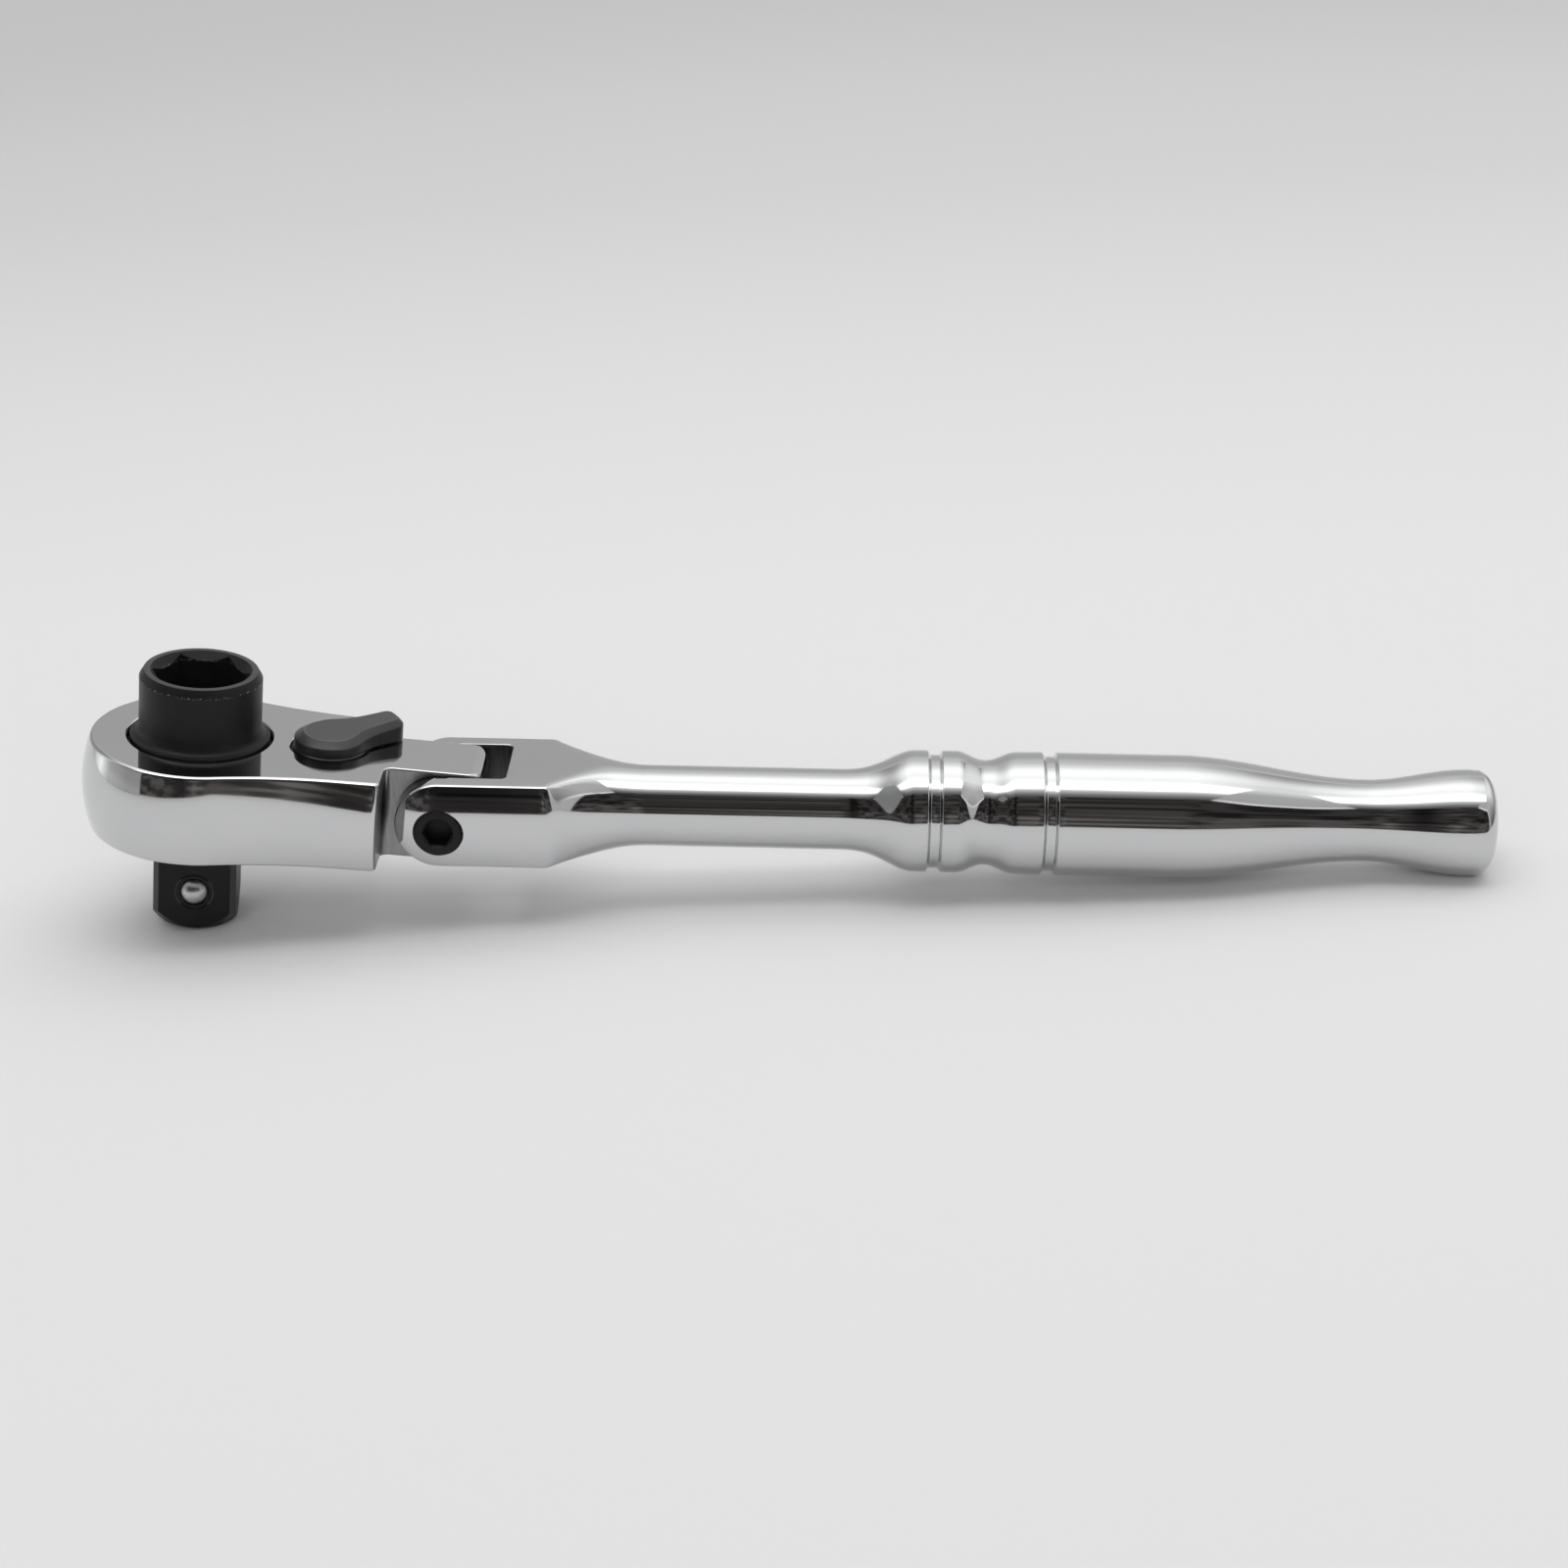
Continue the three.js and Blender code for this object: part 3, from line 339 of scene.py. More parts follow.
def eased(points, radius, steps=4):
    """The polyline with each inner corner rounded, as far as its neighbours leave room."""
    result = [tuple(points[0])]
    for before, corner, after in zip(points, points[1:], points[2:]):
        corner = np.array(corner, float)
        back, ahead = np.array(before) - corner, np.array(after) - corner
        reach_back, reach_ahead = np.linalg.norm(back), np.linalg.norm(ahead)
        back, ahead = back / reach_back, ahead / reach_ahead
        half = math.acos(np.clip(back @ ahead, -1, 1)) / 2
        if half > NEARLY_STRAIGHT:
            result.append(tuple(corner))
            continue
        room = ROOM_SHARE * min(reach_back, reach_ahead)
        run = min(radius / math.tan(half), room)
        middle = corner + (back + ahead) / np.linalg.norm(back + ahead) * run / math.cos(half)
        first, last = corner + back * run - middle, corner + ahead * run - middle
        start = math.atan2(first[1], first[0])
        sweep = (math.atan2(last[1], last[0]) - start + math.pi) % (2 * math.pi) - math.pi
        size = np.linalg.norm(first)
        for share in np.linspace(0, 1, steps + 1):
            angle = start + sweep * share
            result.append((middle[0] + size * math.cos(angle), middle[1] + size * math.sin(angle)))
    result.append(tuple(points[-1]))
    return result


def hexagon(half):
    return arc(0, 0, 2 * half / math.sqrt(3), 0, 300, 5)


def square_outline(half):
    return [(-half, -half), (half, -half), (half, half), (-half, half)]


print("hexagon corners", len(hexagon(1.0)))

# %% Meshes from outlines
def new_object(name, points, faces):
    mesh = bpy.data.meshes.new(name)
    mesh.from_pydata([tuple(map(float, p)) for p in points], [], faces)
    shape = bpy.data.objects.new(name, mesh)
    scene.collection.objects.link(shape)
    return shape


def tidy(mesh, join=1e-5):
    work = bmesh.new()
    work.from_mesh(mesh)
    bmesh.ops.remove_doubles(work, verts=work.verts, dist=join)
    bmesh.ops.dissolve_degenerate(work, edges=work.edges, dist=join)
    bmesh.ops.recalc_face_normals(work, faces=work.faces)
    work.to_mesh(mesh)
    work.free()


def ring_faces(rows, count):
    """Quads between rows of points, each row closed on itself."""
    faces = []
    for row in range(rows - 1):
        low, high = row * count, (row + 1) * count
        for k in range(count):
            after = (k + 1) % count
            faces.append((low + k, low + after, high + after, high + k))
    return faces


def turned(profile, segments):
    """A shape turned about the upright axis, from pairs of radius and height. A profile that ends
    where it starts makes a ring."""
    angles = 2 * math.pi * np.arange(segments) / segments
    points = [(r * math.cos(a), r * math.sin(a), z) for r, z in profile for a in angles]
    shape = new_object("turned", points, ring_faces(len(profile), segments))
    tidy(shape.data)
    return shape


def stack(levels):
    """Closed outlines of equal count, one above the other, with flat ends."""
    count = len(levels[0])
    points = [p for level in levels for p in level]
    ends = [tuple(range(count)), tuple(range(len(points) - count, len(points)))]
    shape = new_object("stack", points, ends + ring_faces(len(levels), count))
    tidy(shape.data)
    return shape


def upright(outline, low, high):
    return stack([[(x, y, z) for x, y in outline] for z in (low, high)])


def moved(shape, matrix):
    shape.data.transform(matrix)
    return shape


def plug(radius, low, high, segments, x=0.0, y=0.0):
    """A plain cylinder, for cutting a hole."""
    shape = turned([(0, low), (radius, low), (radius, high), (0, high)], segments)
    return moved(shape, shift(x, y))


print("shape helpers ready")

# %% [markdown]
# Every piece ends the same way. It is brought to its place, its creases are marked by angle, and
# Weighted Normal lets broad faces decide the shading, because a mirror shows a normal that is off
# by a degree. Each point keeps its drawn coordinates for the finishes that need them.

# %% Cutting and finishing
BENCH_HALF, BENCH_DEPTH = 0.2, 0.05


def plain_mesh(shape):
    """The evaluated mesh takes the place of the modifiers that made it."""
    graph = bpy.context.evaluated_depsgraph_get()
    mesh = bpy.data.meshes.new_from_object(shape.evaluated_get(graph), depsgraph=graph)
    shape.modifiers.clear()
    old, shape.data = shape.data, mesh
    bpy.data.meshes.remove(old)


def cut(shape, cutters, operation="DIFFERENCE"):
    for cutter in cutters:
        step = shape.modifiers.new("cut", "BOOLEAN")
        step.operation = operation
        step.solver = "EXACT"
        step.object = cutter
    plain_mesh(shape)
    for cutter in cutters:
        bpy.data.objects.remove(cutter)
    return shape


def under_bench(place):
    """The space below the bench, as a piece sees it that is brought to its place later. It cuts the
    small flats that the tool stands on."""
    space = upright(square_outline(BENCH_HALF), -BENCH_DEPTH, 0.0)
    return moved(space, place.inverted())


def bevelled(shape, width, segments, angle):
    step = shape.modifiers.new("bevel", "BEVEL")
    step.width = width
    step.segments = segments
    step.limit_method = "ANGLE"
    step.angle_limit = math.radians(angle)
    plain_mesh(shape)
    return shape


def finished(shape, name, place, material, body, slot, nodes, crease=35, marked=None):
    mesh = shape.data
    drawn = np.empty(len(mesh.vertices) * 3, np.float32)
    mesh.vertices.foreach_get("co", drawn)
    mesh.attributes.new("drawn", "FLOAT_VECTOR", "POINT").data.foreach_set("vector", drawn)
    if marked:
        marks = [float(marked(face.center, face.normal)) for face in mesh.polygons]
        mesh.attributes.new("marked", "FLOAT", "FACE").data.foreach_set("value", marks)
    mesh.transform(place)
    mesh.shade_smooth()
    mesh.set_sharp_from_angle(angle=math.radians(crease))
    step = shape.modifiers.new("weights", "WEIGHTED_NORMAL")
    step.keep_sharp = True
    plain_mesh(shape)
    shape.name = name
    shape.data.name = name
    shape.data.materials.clear()
    shape.data.materials.append(material)
    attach(shape, body)
    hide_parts(*nodes)
    print(name, "faces", len(shape.data.polygons))
    return shape


print("finishing ready")

# %% [markdown]
# ## Handle
# The handle is one forging: a fork that is barrelled on its sides, then a turned bar. A lathe
# shape alone can't give the fork, so the mesh has two parts that share a ring of points behind the
# slot. Ahead of it, the fork's section runs round the side view of the ears. Behind it, each ray
# from the axis stops at the fork's section or at the turned radius, whichever comes first, and a
# smooth minimum eases the line where they meet, as buffing does.

# %% Fork section and ears
FORK_HALF = 8.4
FORK_HEIGHT = 5.15
FORK_BARREL = 10.8
FORK_EDGE = 0.45
FORK_CROWN = 0.07
RING_X = 10.0

barrel_y = FORK_HALF - FORK_BARREL
edge_z = FORK_HEIGHT - FORK_CROWN - FORK_EDGE
edge_y = barrel_y + math.sqrt((FORK_BARREL - FORK_EDGE) ** 2 - edge_z ** 2)
edge_angle = math.degrees(math.asin(edge_z / (FORK_BARREL - FORK_EDGE)))
crown_slope = math.degrees(math.atan(2 * FORK_CROWN / edge_y))
side = arc(barrel_y, 0, FORK_BARREL, 0, edge_angle, 20)
side += arc(edge_y, edge_z, FORK_EDGE, edge_angle, 90 - crown_slope, 8)[1:]
crown_y, crown_z = side[-1]
top = [
    (y, FORK_HEIGHT - (FORK_HEIGHT - crown_z) * (y / crown_y) ** 2)
    for y in np.linspace(crown_y, -crown_y, 21)[1:-1]
]
section = side + top + [(-y, z) for y, z in reversed(side)]

ear_line = [(x, FORK_HEIGHT, 0.0, 1.0) for x in np.linspace(RING_X, 0, 9)[:-1]]
for angle in fan(90, 270, 60):
    x, z = math.cos(angle), math.sin(angle)
    ear_line.append((FORK_HEIGHT * x, FORK_HEIGHT * z, x, z))
ear_line += [(x, -FORK_HEIGHT, 0.0, -1.0) for x in np.linspace(0, RING_X, 9)[1:]]


def fork_front():
    points = []
    for x, z, normal_x, normal_z in ear_line:
        for y, height in section:
            depth = FORK_HEIGHT - height
            points.append((x - normal_x * depth, y, z - normal_z * depth))
    width = len(section)
    faces = []
    for row in range(len(ear_line) - 1):
        for k in range(width - 1):
            a = row * width + k
            faces.append((a, a + 1, a + width + 1, a + width))
    return points, faces


print("fork section points", len(section), "top half", round(crown_y, 2))

# %% [markdown]
# The bar's profile is a list of lengths: hollow flare, neck, collar with its groove, waist, second
# collar with its groove, barrel, taper and knob. Smooth runs are half waves of a cosine, and the
# one up to the collar leans, so that its steepest place comes late.

# %% Turned profile
FLARE_END, FLARE_RADIUS, NECK = 23.5, 17.2, 4.7
NECK_END, COLLAR_X, COLLAR_END = 45.2, 54.3, 59.1
SHOULDER_LEAN = 1.5
WAIST_X, REAR_X, BARREL_END = 62.4, 66.0, 84.5
TAPER_END, KNOB_X, HANDLE_END = 106.5, 118.2, 120.9
COLLAR, WAIST, BARREL = 7.08, 6.08, 7.14
TAIL, KNOB, KNOB_CORNER, KNOB_RIM_START, KNOB_FLAT = 4.75, 6.17, 2.0, 80, 3.9
GROOVE_HALF, GROOVE_FLOOR, GROOVE_DEPTH, GROOVE_EDGE = 0.84, 0.6, 0.5, 0.16
FRONT_GROOVE, REAR_GROOVE = 56.6, 69.8
BUFFED_WIDTH = 0.9


def wave(start, end, steps, lean=1.0):
    shares = np.linspace(0, 1, steps + 1)
    lifts = (1 - np.cos(math.pi * shares ** lean)) / 2
    return [
        (start[0] + (end[0] - start[0]) * s, start[1] + (end[1] - start[1]) * lift)
        for s, lift in zip(shares, lifts)
    ]


def groove(x, radius):
    low, half = radius - GROOVE_DEPTH, GROOVE_HALF
    before = [(x - 2 * half, radius), (x - half, radius), (x - GROOVE_FLOOR * half, low)]
    after = [(x + GROOVE_FLOOR * half, low), (x + half, radius), (x + 2 * half, radius)]
    return eased(before + after, GROOVE_EDGE)


start_angle = math.degrees(math.asin((FLARE_END - RING_X) / FLARE_RADIUS))
flare = arc(FLARE_END, NECK + FLARE_RADIUS, FLARE_RADIUS, 270 - start_angle, 270, 70)
rim_x, rim_radius = HANDLE_END - KNOB_CORNER, KNOB - KNOB_CORNER
knob_rim = arc(rim_x, rim_radius, KNOB_CORNER, KNOB_RIM_START, 0, 14)
bar_profile = (
    flare
    + wave((NECK_END, NECK), (COLLAR_X, COLLAR), 40, SHOULDER_LEAN)
    + groove(FRONT_GROOVE, COLLAR)
    + wave((COLLAR_END, COLLAR), (WAIST_X, WAIST), 16)
    + wave((WAIST_X, WAIST), (REAR_X, COLLAR), 16)[1:]
    + groove(REAR_GROOVE, BARREL)
    + wave((BARREL_END, BARREL), (TAPER_END, TAIL), 48)
    + wave((TAPER_END, TAIL), (KNOB_X, KNOB), 30)[1:]
    + knob_rim
    + [(HANDLE_END, KNOB_FLAT), (HANDLE_END, 0.0)]
)
print("bar stations", len(bar_profile))

# %% [markdown]
# The rule for the bar is the same at every point, so Geometry Nodes work it out: each point carries
# its station, its turned radius, the reach of the fork's section along its ray, and its angle.

# %% Geometry Nodes for the turned bar
class Recipe(Graph):
    def __init__(self, name, sizes):
        super().__init__(bpy.data.node_groups.new(name, "GeometryNodeTree"))
        face = self.tree.interface
        face.new_socket("Geometry", in_out="INPUT", socket_type="NodeSocketGeometry")
        for label in sizes:
            face.new_socket(label, in_out="INPUT", socket_type="NodeSocketFloat")
        face.new_socket("Geometry", in_out="OUTPUT", socket_type="NodeSocketGeometry")
        self.source = self.tree.nodes.new("NodeGroupInput")

    def size(self, label):
        return Wire(self, self.source.outputs[label])

    def known(self, name):
        settings = {"data_type": "FLOAT"}
        return self.node("GeometryNodeInputNamedAttribute", settings, {"Name": name}, 0)

    def close(self, geometry, material):
        real = self.node("GeometryNodeRealizeInstances", {}, {0: geometry})
        dressed = self.node("GeometryNodeSetMaterial", {}, {0: real, "Material": material})
        self.join(dressed, self.tree.nodes.new("NodeGroupOutput").inputs[0])

    def run(self, shape, sizes):
        step = shape.modifiers.new("recipe", "NODES")
        step.node_group = self.tree
        for item in self.tree.interface.items_tree:
            if item.in_out == "INPUT" and item.name in sizes:
                step[item.identifier] = float(sizes[item.name])
        plain_mesh(shape)
        return shape


def turned_bar_recipe():
    recipe = Recipe("turned_bar", ["Fork length", "Buffed width"])
    radius, reach, angle = recipe.known("radius"), recipe.known("reach"), recipe.known("angle")
    station = recipe.known("station")
    least = radius.maths("SMOOTH_MIN", radius, reach, recipe.size("Buffed width"))
    in_fork = station < recipe.size("Fork length")
    ray = radius + in_fork * (least - radius)
    y = ray * ray.maths("COSINE", angle)
    z = ray * ray.maths("SINE", angle)
    place = recipe.node("ShaderNodeCombineXYZ", {}, {0: station, 1: y, 2: z})
    values = {0: recipe.size("Geometry"), "Position": place}
    bar = recipe.node("GeometryNodeSetPosition", {}, values)
    recipe.close(bar, chrome)
    return recipe


def turned_bar():
    ring = section + [(y, -z) for y, z in reversed(section[1:-1])]
    count = len(ring)
    rows = len(bar_profile)
    shape = new_object("turned_bar", [(0, 0, 0)] * (rows * count), ring_faces(rows, count))
    values = {
        "station": np.repeat([x for x, r in bar_profile], count),
        "radius": np.repeat([r for x, r in bar_profile], count),
        "reach": np.tile([math.hypot(y, z) for y, z in ring], rows),
        "angle": np.tile([math.atan2(z, y) for y, z in ring], rows),
    }
    for name, numbers in values.items():
        layer = shape.data.attributes.new(name, "FLOAT", "POINT")
        layer.data.foreach_set("value", numbers.astype(np.float32))
    sizes = {"Fork length": FLARE_END, "Buffed width": BUFFED_WIDTH}
    return turned_bar_recipe().run(shape, sizes)


bar = turned_bar()
print("bar points", len(bar.data.vertices))

# %% [markdown]
# The two parts are joined at the shared ring, and then the slot and the screw's holes are cut. The
# slot's cutter flares at its mouth, which breaks the sharp edge all round it.

# %% Slot, screw holes and the finished handle
SLOT_HALF, SLOT_DEPTH, SLOT_CORNER, SLOT_LIP = 4.95, 7.5, 0.7, 0.25
SCREW_HEAD_HOLE, SCREW_THREAD_HOLE, HOLE_LIP = 2.85, 2.13, 0.16
SLOT_SLACK, STEEP = 0.1, 0.5


def slot_outline(grow):
    half, depth = SLOT_HALF + grow, SLOT_DEPTH + grow
    corner = SLOT_CORNER + grow
    lower = arc(depth - corner, -half + corner, corner, -90, 0, 8)
    upper = arc(depth - corner, half - corner, corner, 0, 90, 8)
    return [(-2 * FORK_HEIGHT, -half), *lower, *upper, (-2 * FORK_HEIGHT, half)]


def slot_cutter():
    lips = [
        (FORK_HEIGHT - SLOT_LIP + SLOT_LIP * math.sin(a), SLOT_LIP * (1 - math.cos(a)))
        for a in fan(0, 90, 5)
    ]
    lips.append((FORK_HEIGHT + 1, SLOT_LIP))
    levels = [(-z, grow) for z, grow in reversed(lips)] + lips
    return stack([[(x, y, z) for x, y in slot_outline(grow)] for z, grow in levels])


def across(shape, z=0.0, x=0.0):
    """Turned shapes stand up; this lays them across the tool, their tops to the near side."""
    return moved(shape, shift(x, 0, z) @ Matrix.Rotation(math.radians(90), 4, "X"))


def screw_hole():
    head, thread = SCREW_HEAD_HOLE, SCREW_THREAD_HOLE
    near, far = FORK_HALF, -FORK_HALF - 1
    beyond = near + 1 - HOLE_LIP
    profile = [(0, far), (thread, far), (thread, 0), (head, 0), (head, near - HOLE_LIP)]
    profile += [(head + HOLE_LIP, near), (head + 1, beyond), (0, beyond)]
    return across(turned(profile, 96), -HINGE_DROP)


# Faces inside the slot, which get painted shade in the plated finish.
def in_slot(place, normal):
    inside = place.x < SLOT_DEPTH + SLOT_SLACK and abs(place.y) < SLOT_HALF + SLOT_SLACK
    return inside and abs(normal.z) < STEEP


def handle():
    points, faces = fork_front()
    front = new_object("fork_front", points, faces)
    work = bmesh.new()
    work.from_mesh(front.data)
    work.from_mesh(bar.data)
    work.to_mesh(bar.data)
    work.free()
    bpy.data.objects.remove(front)
    for name in ("station", "radius", "reach", "angle"):
        bar.data.attributes.remove(bar.data.attributes[name])
    tidy(bar.data, 1e-3)
    cut(bar, [slot_cutter(), screw_hole(), under_bench(in_handle)])
    look = chrome, "handle_body", "plated_steel", ["handle"]
    return finished(bar, "handle_forging", in_handle, *look, marked=in_slot)


handle()

# %% [markdown]
# ## Head
# The head is a pear in plan with a tongue behind it. Its side wall bulges, more so towards the
# shoulders, and its rims are lightly rounded. One outline runs round pear and tongue, and is
# stacked from bottom to top, drawn in along its normals by an amount that depends on the height
# and on where the point lies.

# %% Outline of the head
HEAD_RADIUS, HEAD_THICK, HEAD_BLEND = 13.295, 11.0, 50.0
SHOULDER_X, SHOULDER_HALF, SHOULDER_CORNER = 21.9, 10.75, 0.6
TONGUE_HALF, TONGUE_END, TONGUE_CORNER, TONGUE_ROOT = 4.5, 33.14, 2.0, 1.0
HEAD_EDGE, TONGUE_EDGE, TONGUE_NOSE = 0.35, 0.25, 1.5
HEAD_BARREL, SHOULDER_BARREL = 16.3, 11.5
HINGE_X, HINGE_Z = 28.64, -6.0


def arc_with_normals(x, y, radius, start, end, steps, kind):
    sign, radius = (1 if radius > 0 else -1), abs(radius)
    ways = [(math.cos(a), math.sin(a)) for a in fan(start, end, steps)]
    return [(x + radius * c, y + radius * s, sign * c, sign * s, kind) for c, s in ways]


def head_outline():
    blend_y = SHOULDER_HALF + HEAD_BLEND
    blend_x = math.sqrt((HEAD_RADIUS + HEAD_BLEND) ** 2 - blend_y ** 2)
    meet = math.degrees(math.atan2(blend_y, blend_x))
    root_x, root_y = SHOULDER_X + TONGUE_ROOT, TONGUE_HALF + TONGUE_ROOT
    nose_x, nose_y = TONGUE_END - TONGUE_CORNER, TONGUE_HALF - TONGUE_CORNER
    corner_x, corner_y = SHOULDER_X - SHOULDER_CORNER, SHOULDER_HALF - SHOULDER_CORNER
    half = [(TONGUE_END, y, 1.0, 0.0, "nose") for y in np.linspace(0, nose_y, 5)[:-1]]
    half += arc_with_normals(nose_x, nose_y, TONGUE_CORNER, 0, 90, 10, "nose")
    half += [(x, TONGUE_HALF, 0.0, 1.0, "tongue") for x in np.linspace(nose_x, root_x, 9)[1:-1]]
    half += arc_with_normals(root_x, root_y, -TONGUE_ROOT, 270, 180, 8, "tongue")
    half += [(SHOULDER_X, y, 1.0, 0.0, "rear") for y in np.linspace(root_y, corner_y, 8)[1:-1]]
    half += arc_with_normals(corner_x, corner_y, SHOULDER_CORNER, 0, 90, 8, "corner")
    wall_x = np.linspace(corner_x, blend_x, 6)[1:-1]
    half += [(x, SHOULDER_HALF, 0.0, 1.0, "wall") for x in wall_x]
    half += arc_with_normals(blend_x, blend_y, -HEAD_BLEND, 270, 180 + meet, 20, "wall")
    half += arc_with_normals(0, 0, HEAD_RADIUS, meet, 180, 60, "wall")[1:]
    mirrored = [(x, -y, nx, -ny, kind) for x, y, nx, ny, kind in reversed(half[1:-1])]
    return half + mirrored


def rounding(depth, radius):
    """How far a rounded rim is drawn in, at a depth below the face that it meets."""
    return radius - math.sqrt(radius ** 2 - (radius - depth) ** 2) if depth < radius else 0.0


def drawn_in(normal_x, kind, height):
    """How far a point of the head's outline is drawn in, at a height from its middle."""
    depth = HEAD_THICK / 2 - abs(height)
    if kind == "nose":
        share = max(normal_x, 0.0) ** 2
        return rounding(depth, TONGUE_EDGE + (TONGUE_NOSE - TONGUE_EDGE) * share)
    if kind == "tongue":
        return rounding(depth, TONGUE_EDGE)
    return rounding(depth, HEAD_EDGE)


def bulged_in(x, y, kind, height):
    """How far the bulge of the side wall draws a point in, as the head gets higher or lower."""
    if kind not in ("wall", "corner", "rear"):
        return 0.0
    share = min(max(x / SHOULDER_X, 0.0), 1.0)
    barrel = HEAD_BARREL + (SHOULDER_BARREL - HEAD_BARREL) * share ** 2
    bulge = barrel - math.sqrt(barrel ** 2 - height ** 2)
    if kind == "rear":
        root = TONGUE_HALF + TONGUE_ROOT
        bulge *= (abs(y) - root) / (SHOULDER_HALF - root)
    return bulge


outline = head_outline()
print("head outline points", len(outline))

# %% Blank of the head
def head_blank():
    rim = TONGUE_NOSE * (1 - np.cos(fan(0, 90, 21)))
    half_thick = HEAD_THICK / 2
    depths = [*rim, *np.linspace(TONGUE_NOSE, half_thick, 12)[1:]]
    heights = [depth - half_thick for depth in depths]
    heights += [half_thick - depth for depth in reversed(depths[:-1])]
    levels = []
    for height in heights:
        level = []
        for x, y, nx, ny, kind in outline:
            inset = drawn_in(nx, kind, height)
            bulge = bulged_in(x, y, kind, height)
            bulge_x, bulge_y = (nx, ny) if kind == "wall" else (0.0, math.copysign(1.0, y))
            x, y = x - nx * inset - bulge_x * bulge, y - ny * inset - bulge_y * bulge
            level.append((x, y, height - half_thick))
        levels.append(level)
    return stack(levels)


blank = head_blank()
print("head blank faces", len(blank.data.polygons))

# %% [markdown]
# The head is then machined: the bore for the rotor, the room for the gear and the pawl, the well
# for the lever, the seat for the cover below, and the holes for screws, pin and hinge.

# %% Cuts in the head
BORE, BORE_LIP, GEAR_ROOM, ROOF = 8.28, 0.14, 9.1, 2.2
LEVER_X, WELL, WELL_DEPTH, WELL_LIP, SHAFT_HOLE, LEVER_ROOM = 15.0, 4.6, 1.4, 0.1, 2.68, 3.9
PAWL_IN, PAWL_OUT, PAWL_SWEEP = 8.3, 12.2, 44
PIN_X, PIN_HOLE, PIN_LOW, PIN_DEPTH = 10.55, 0.78, -4.0, 1.3
COVER_RADIUS, COVER_REAR_X, COVER_REAR_HALF, COVER_CORNER = 10.6, 17.4, 5.2, 2.5
COVER_THICK, SEAT_GAP = 1.9, 0.1
COVER_SCREW_HOLE, COVER_SCREW_DEPTH = 1.05, 5.1
HINGE_HOLE, BEYOND = 2.53, 0.5
WELL_SLACK, REAR_SLACK = 0.05, 0.15


def cover_outline(grow):
    reach = math.hypot(COVER_REAR_X, COVER_REAR_HALF)
    meet = math.degrees(math.atan2(COVER_REAR_HALF, COVER_REAR_X))
    meet += math.degrees(math.acos((COVER_RADIUS - COVER_CORNER) / reach))
    corner = COVER_CORNER + grow
    return (
        arc(COVER_REAR_X, COVER_REAR_HALF, corner, 0, meet, 14)
        + arc(0, 0, COVER_RADIUS + grow, meet, 360 - meet, 80)
        + arc(COVER_REAR_X, -COVER_REAR_HALF, corner, -meet, 0, 14)
    )


def hole(radius, low, high, lip=0.0, x=0.0, y=0.0, segments=96):
    profile = [(0, low), (radius, low), (radius, high - lip), (radius + lip, high)]
    profile += [(radius + lip + 1, high + 1), (0, high + 1)]
    return moved(turned(profile, segments), shift(x, y))


def head_cuts():
    sweep = arc(0, 0, PAWL_OUT, -PAWL_SWEEP, PAWL_SWEEP, 24)
    sweep += arc(0, 0, PAWL_IN, PAWL_SWEEP, -PAWL_SWEEP, 24)
    room = -HEAD_THICK - BEYOND
    cuts = [
        hole(BORE, room, 0, BORE_LIP, segments=160),
        plug(GEAR_ROOM, room, -ROOF, 120),
        upright(sweep, room, -ROOF),
        plug(LEVER_ROOM, room, -ROOF, 64, LEVER_X),
        hole(WELL, -WELL_DEPTH, 0, WELL_LIP, LEVER_X),
        hole(SHAFT_HOLE, -ROOF - BEYOND, -WELL_DEPTH / 2, 0, LEVER_X),
        plug(PIN_HOLE, PIN_LOW, -PIN_DEPTH, 32, PIN_X),
        upright(cover_outline(SEAT_GAP), room, -HEAD_THICK + COVER_THICK + SEAT_GAP),
        across(plug(HINGE_HOLE, -2 * TONGUE_HALF, 2 * TONGUE_HALF, 64), HINGE_Z, HINGE_X),
    ]
    screw_top = COVER_SCREW_DEPTH - HEAD_THICK
    for y in (-COVER_REAR_HALF, COVER_REAR_HALF):
        cuts.append(plug(COVER_SCREW_HOLE, room, screw_top, 32, COVER_REAR_X, y))
    return cuts


# Faces round the tongue and in the lever's well, which get painted shade in the plated finish.
def round_tongue(place, normal):
    in_well = math.hypot(place.x - LEVER_X, place.y) < WELL + WELL_SLACK
    behind = place.x > SHOULDER_X - REAR_SLACK and normal.x > -STEEP
    return (behind or in_well) and abs(normal.z) < STEEP


cut(blank, head_cuts())
look = chrome, "head_body", "plated_steel", ["head_housing"]
finished(blank, "head_forging", in_head, *look, marked=round_tongue)

# %% [markdown]
# ## Rotor
# One bar of steel is turned to a socket above and a hub below, its lower end milled to a square
# with broken corners and a coned end, and its top broached to a hexagon with a coned mouth. The
# blanks are made apart, joined, and cut in that order.

# %% Turned trunk of the rotor
HUB, FLANGE, SOCKET, SOCKET_TOP = 7.0, 7.94, 6.97, 8.1
FLANGE_TOP, FLARE_TOP, BEVEL_IN, BEVEL_DOWN = 0.3, 1.5, 0.52, 0.9
SEAL_Z, SEAL_GROOVE, SEAL_HALF = -1.1, 7.28, 0.5
HUB_END, HUB_TOP = -12.0, -5.5
RIM_DROP, RIM_IN, CROWN_EDGE = 0.12, 0.1, 0.13


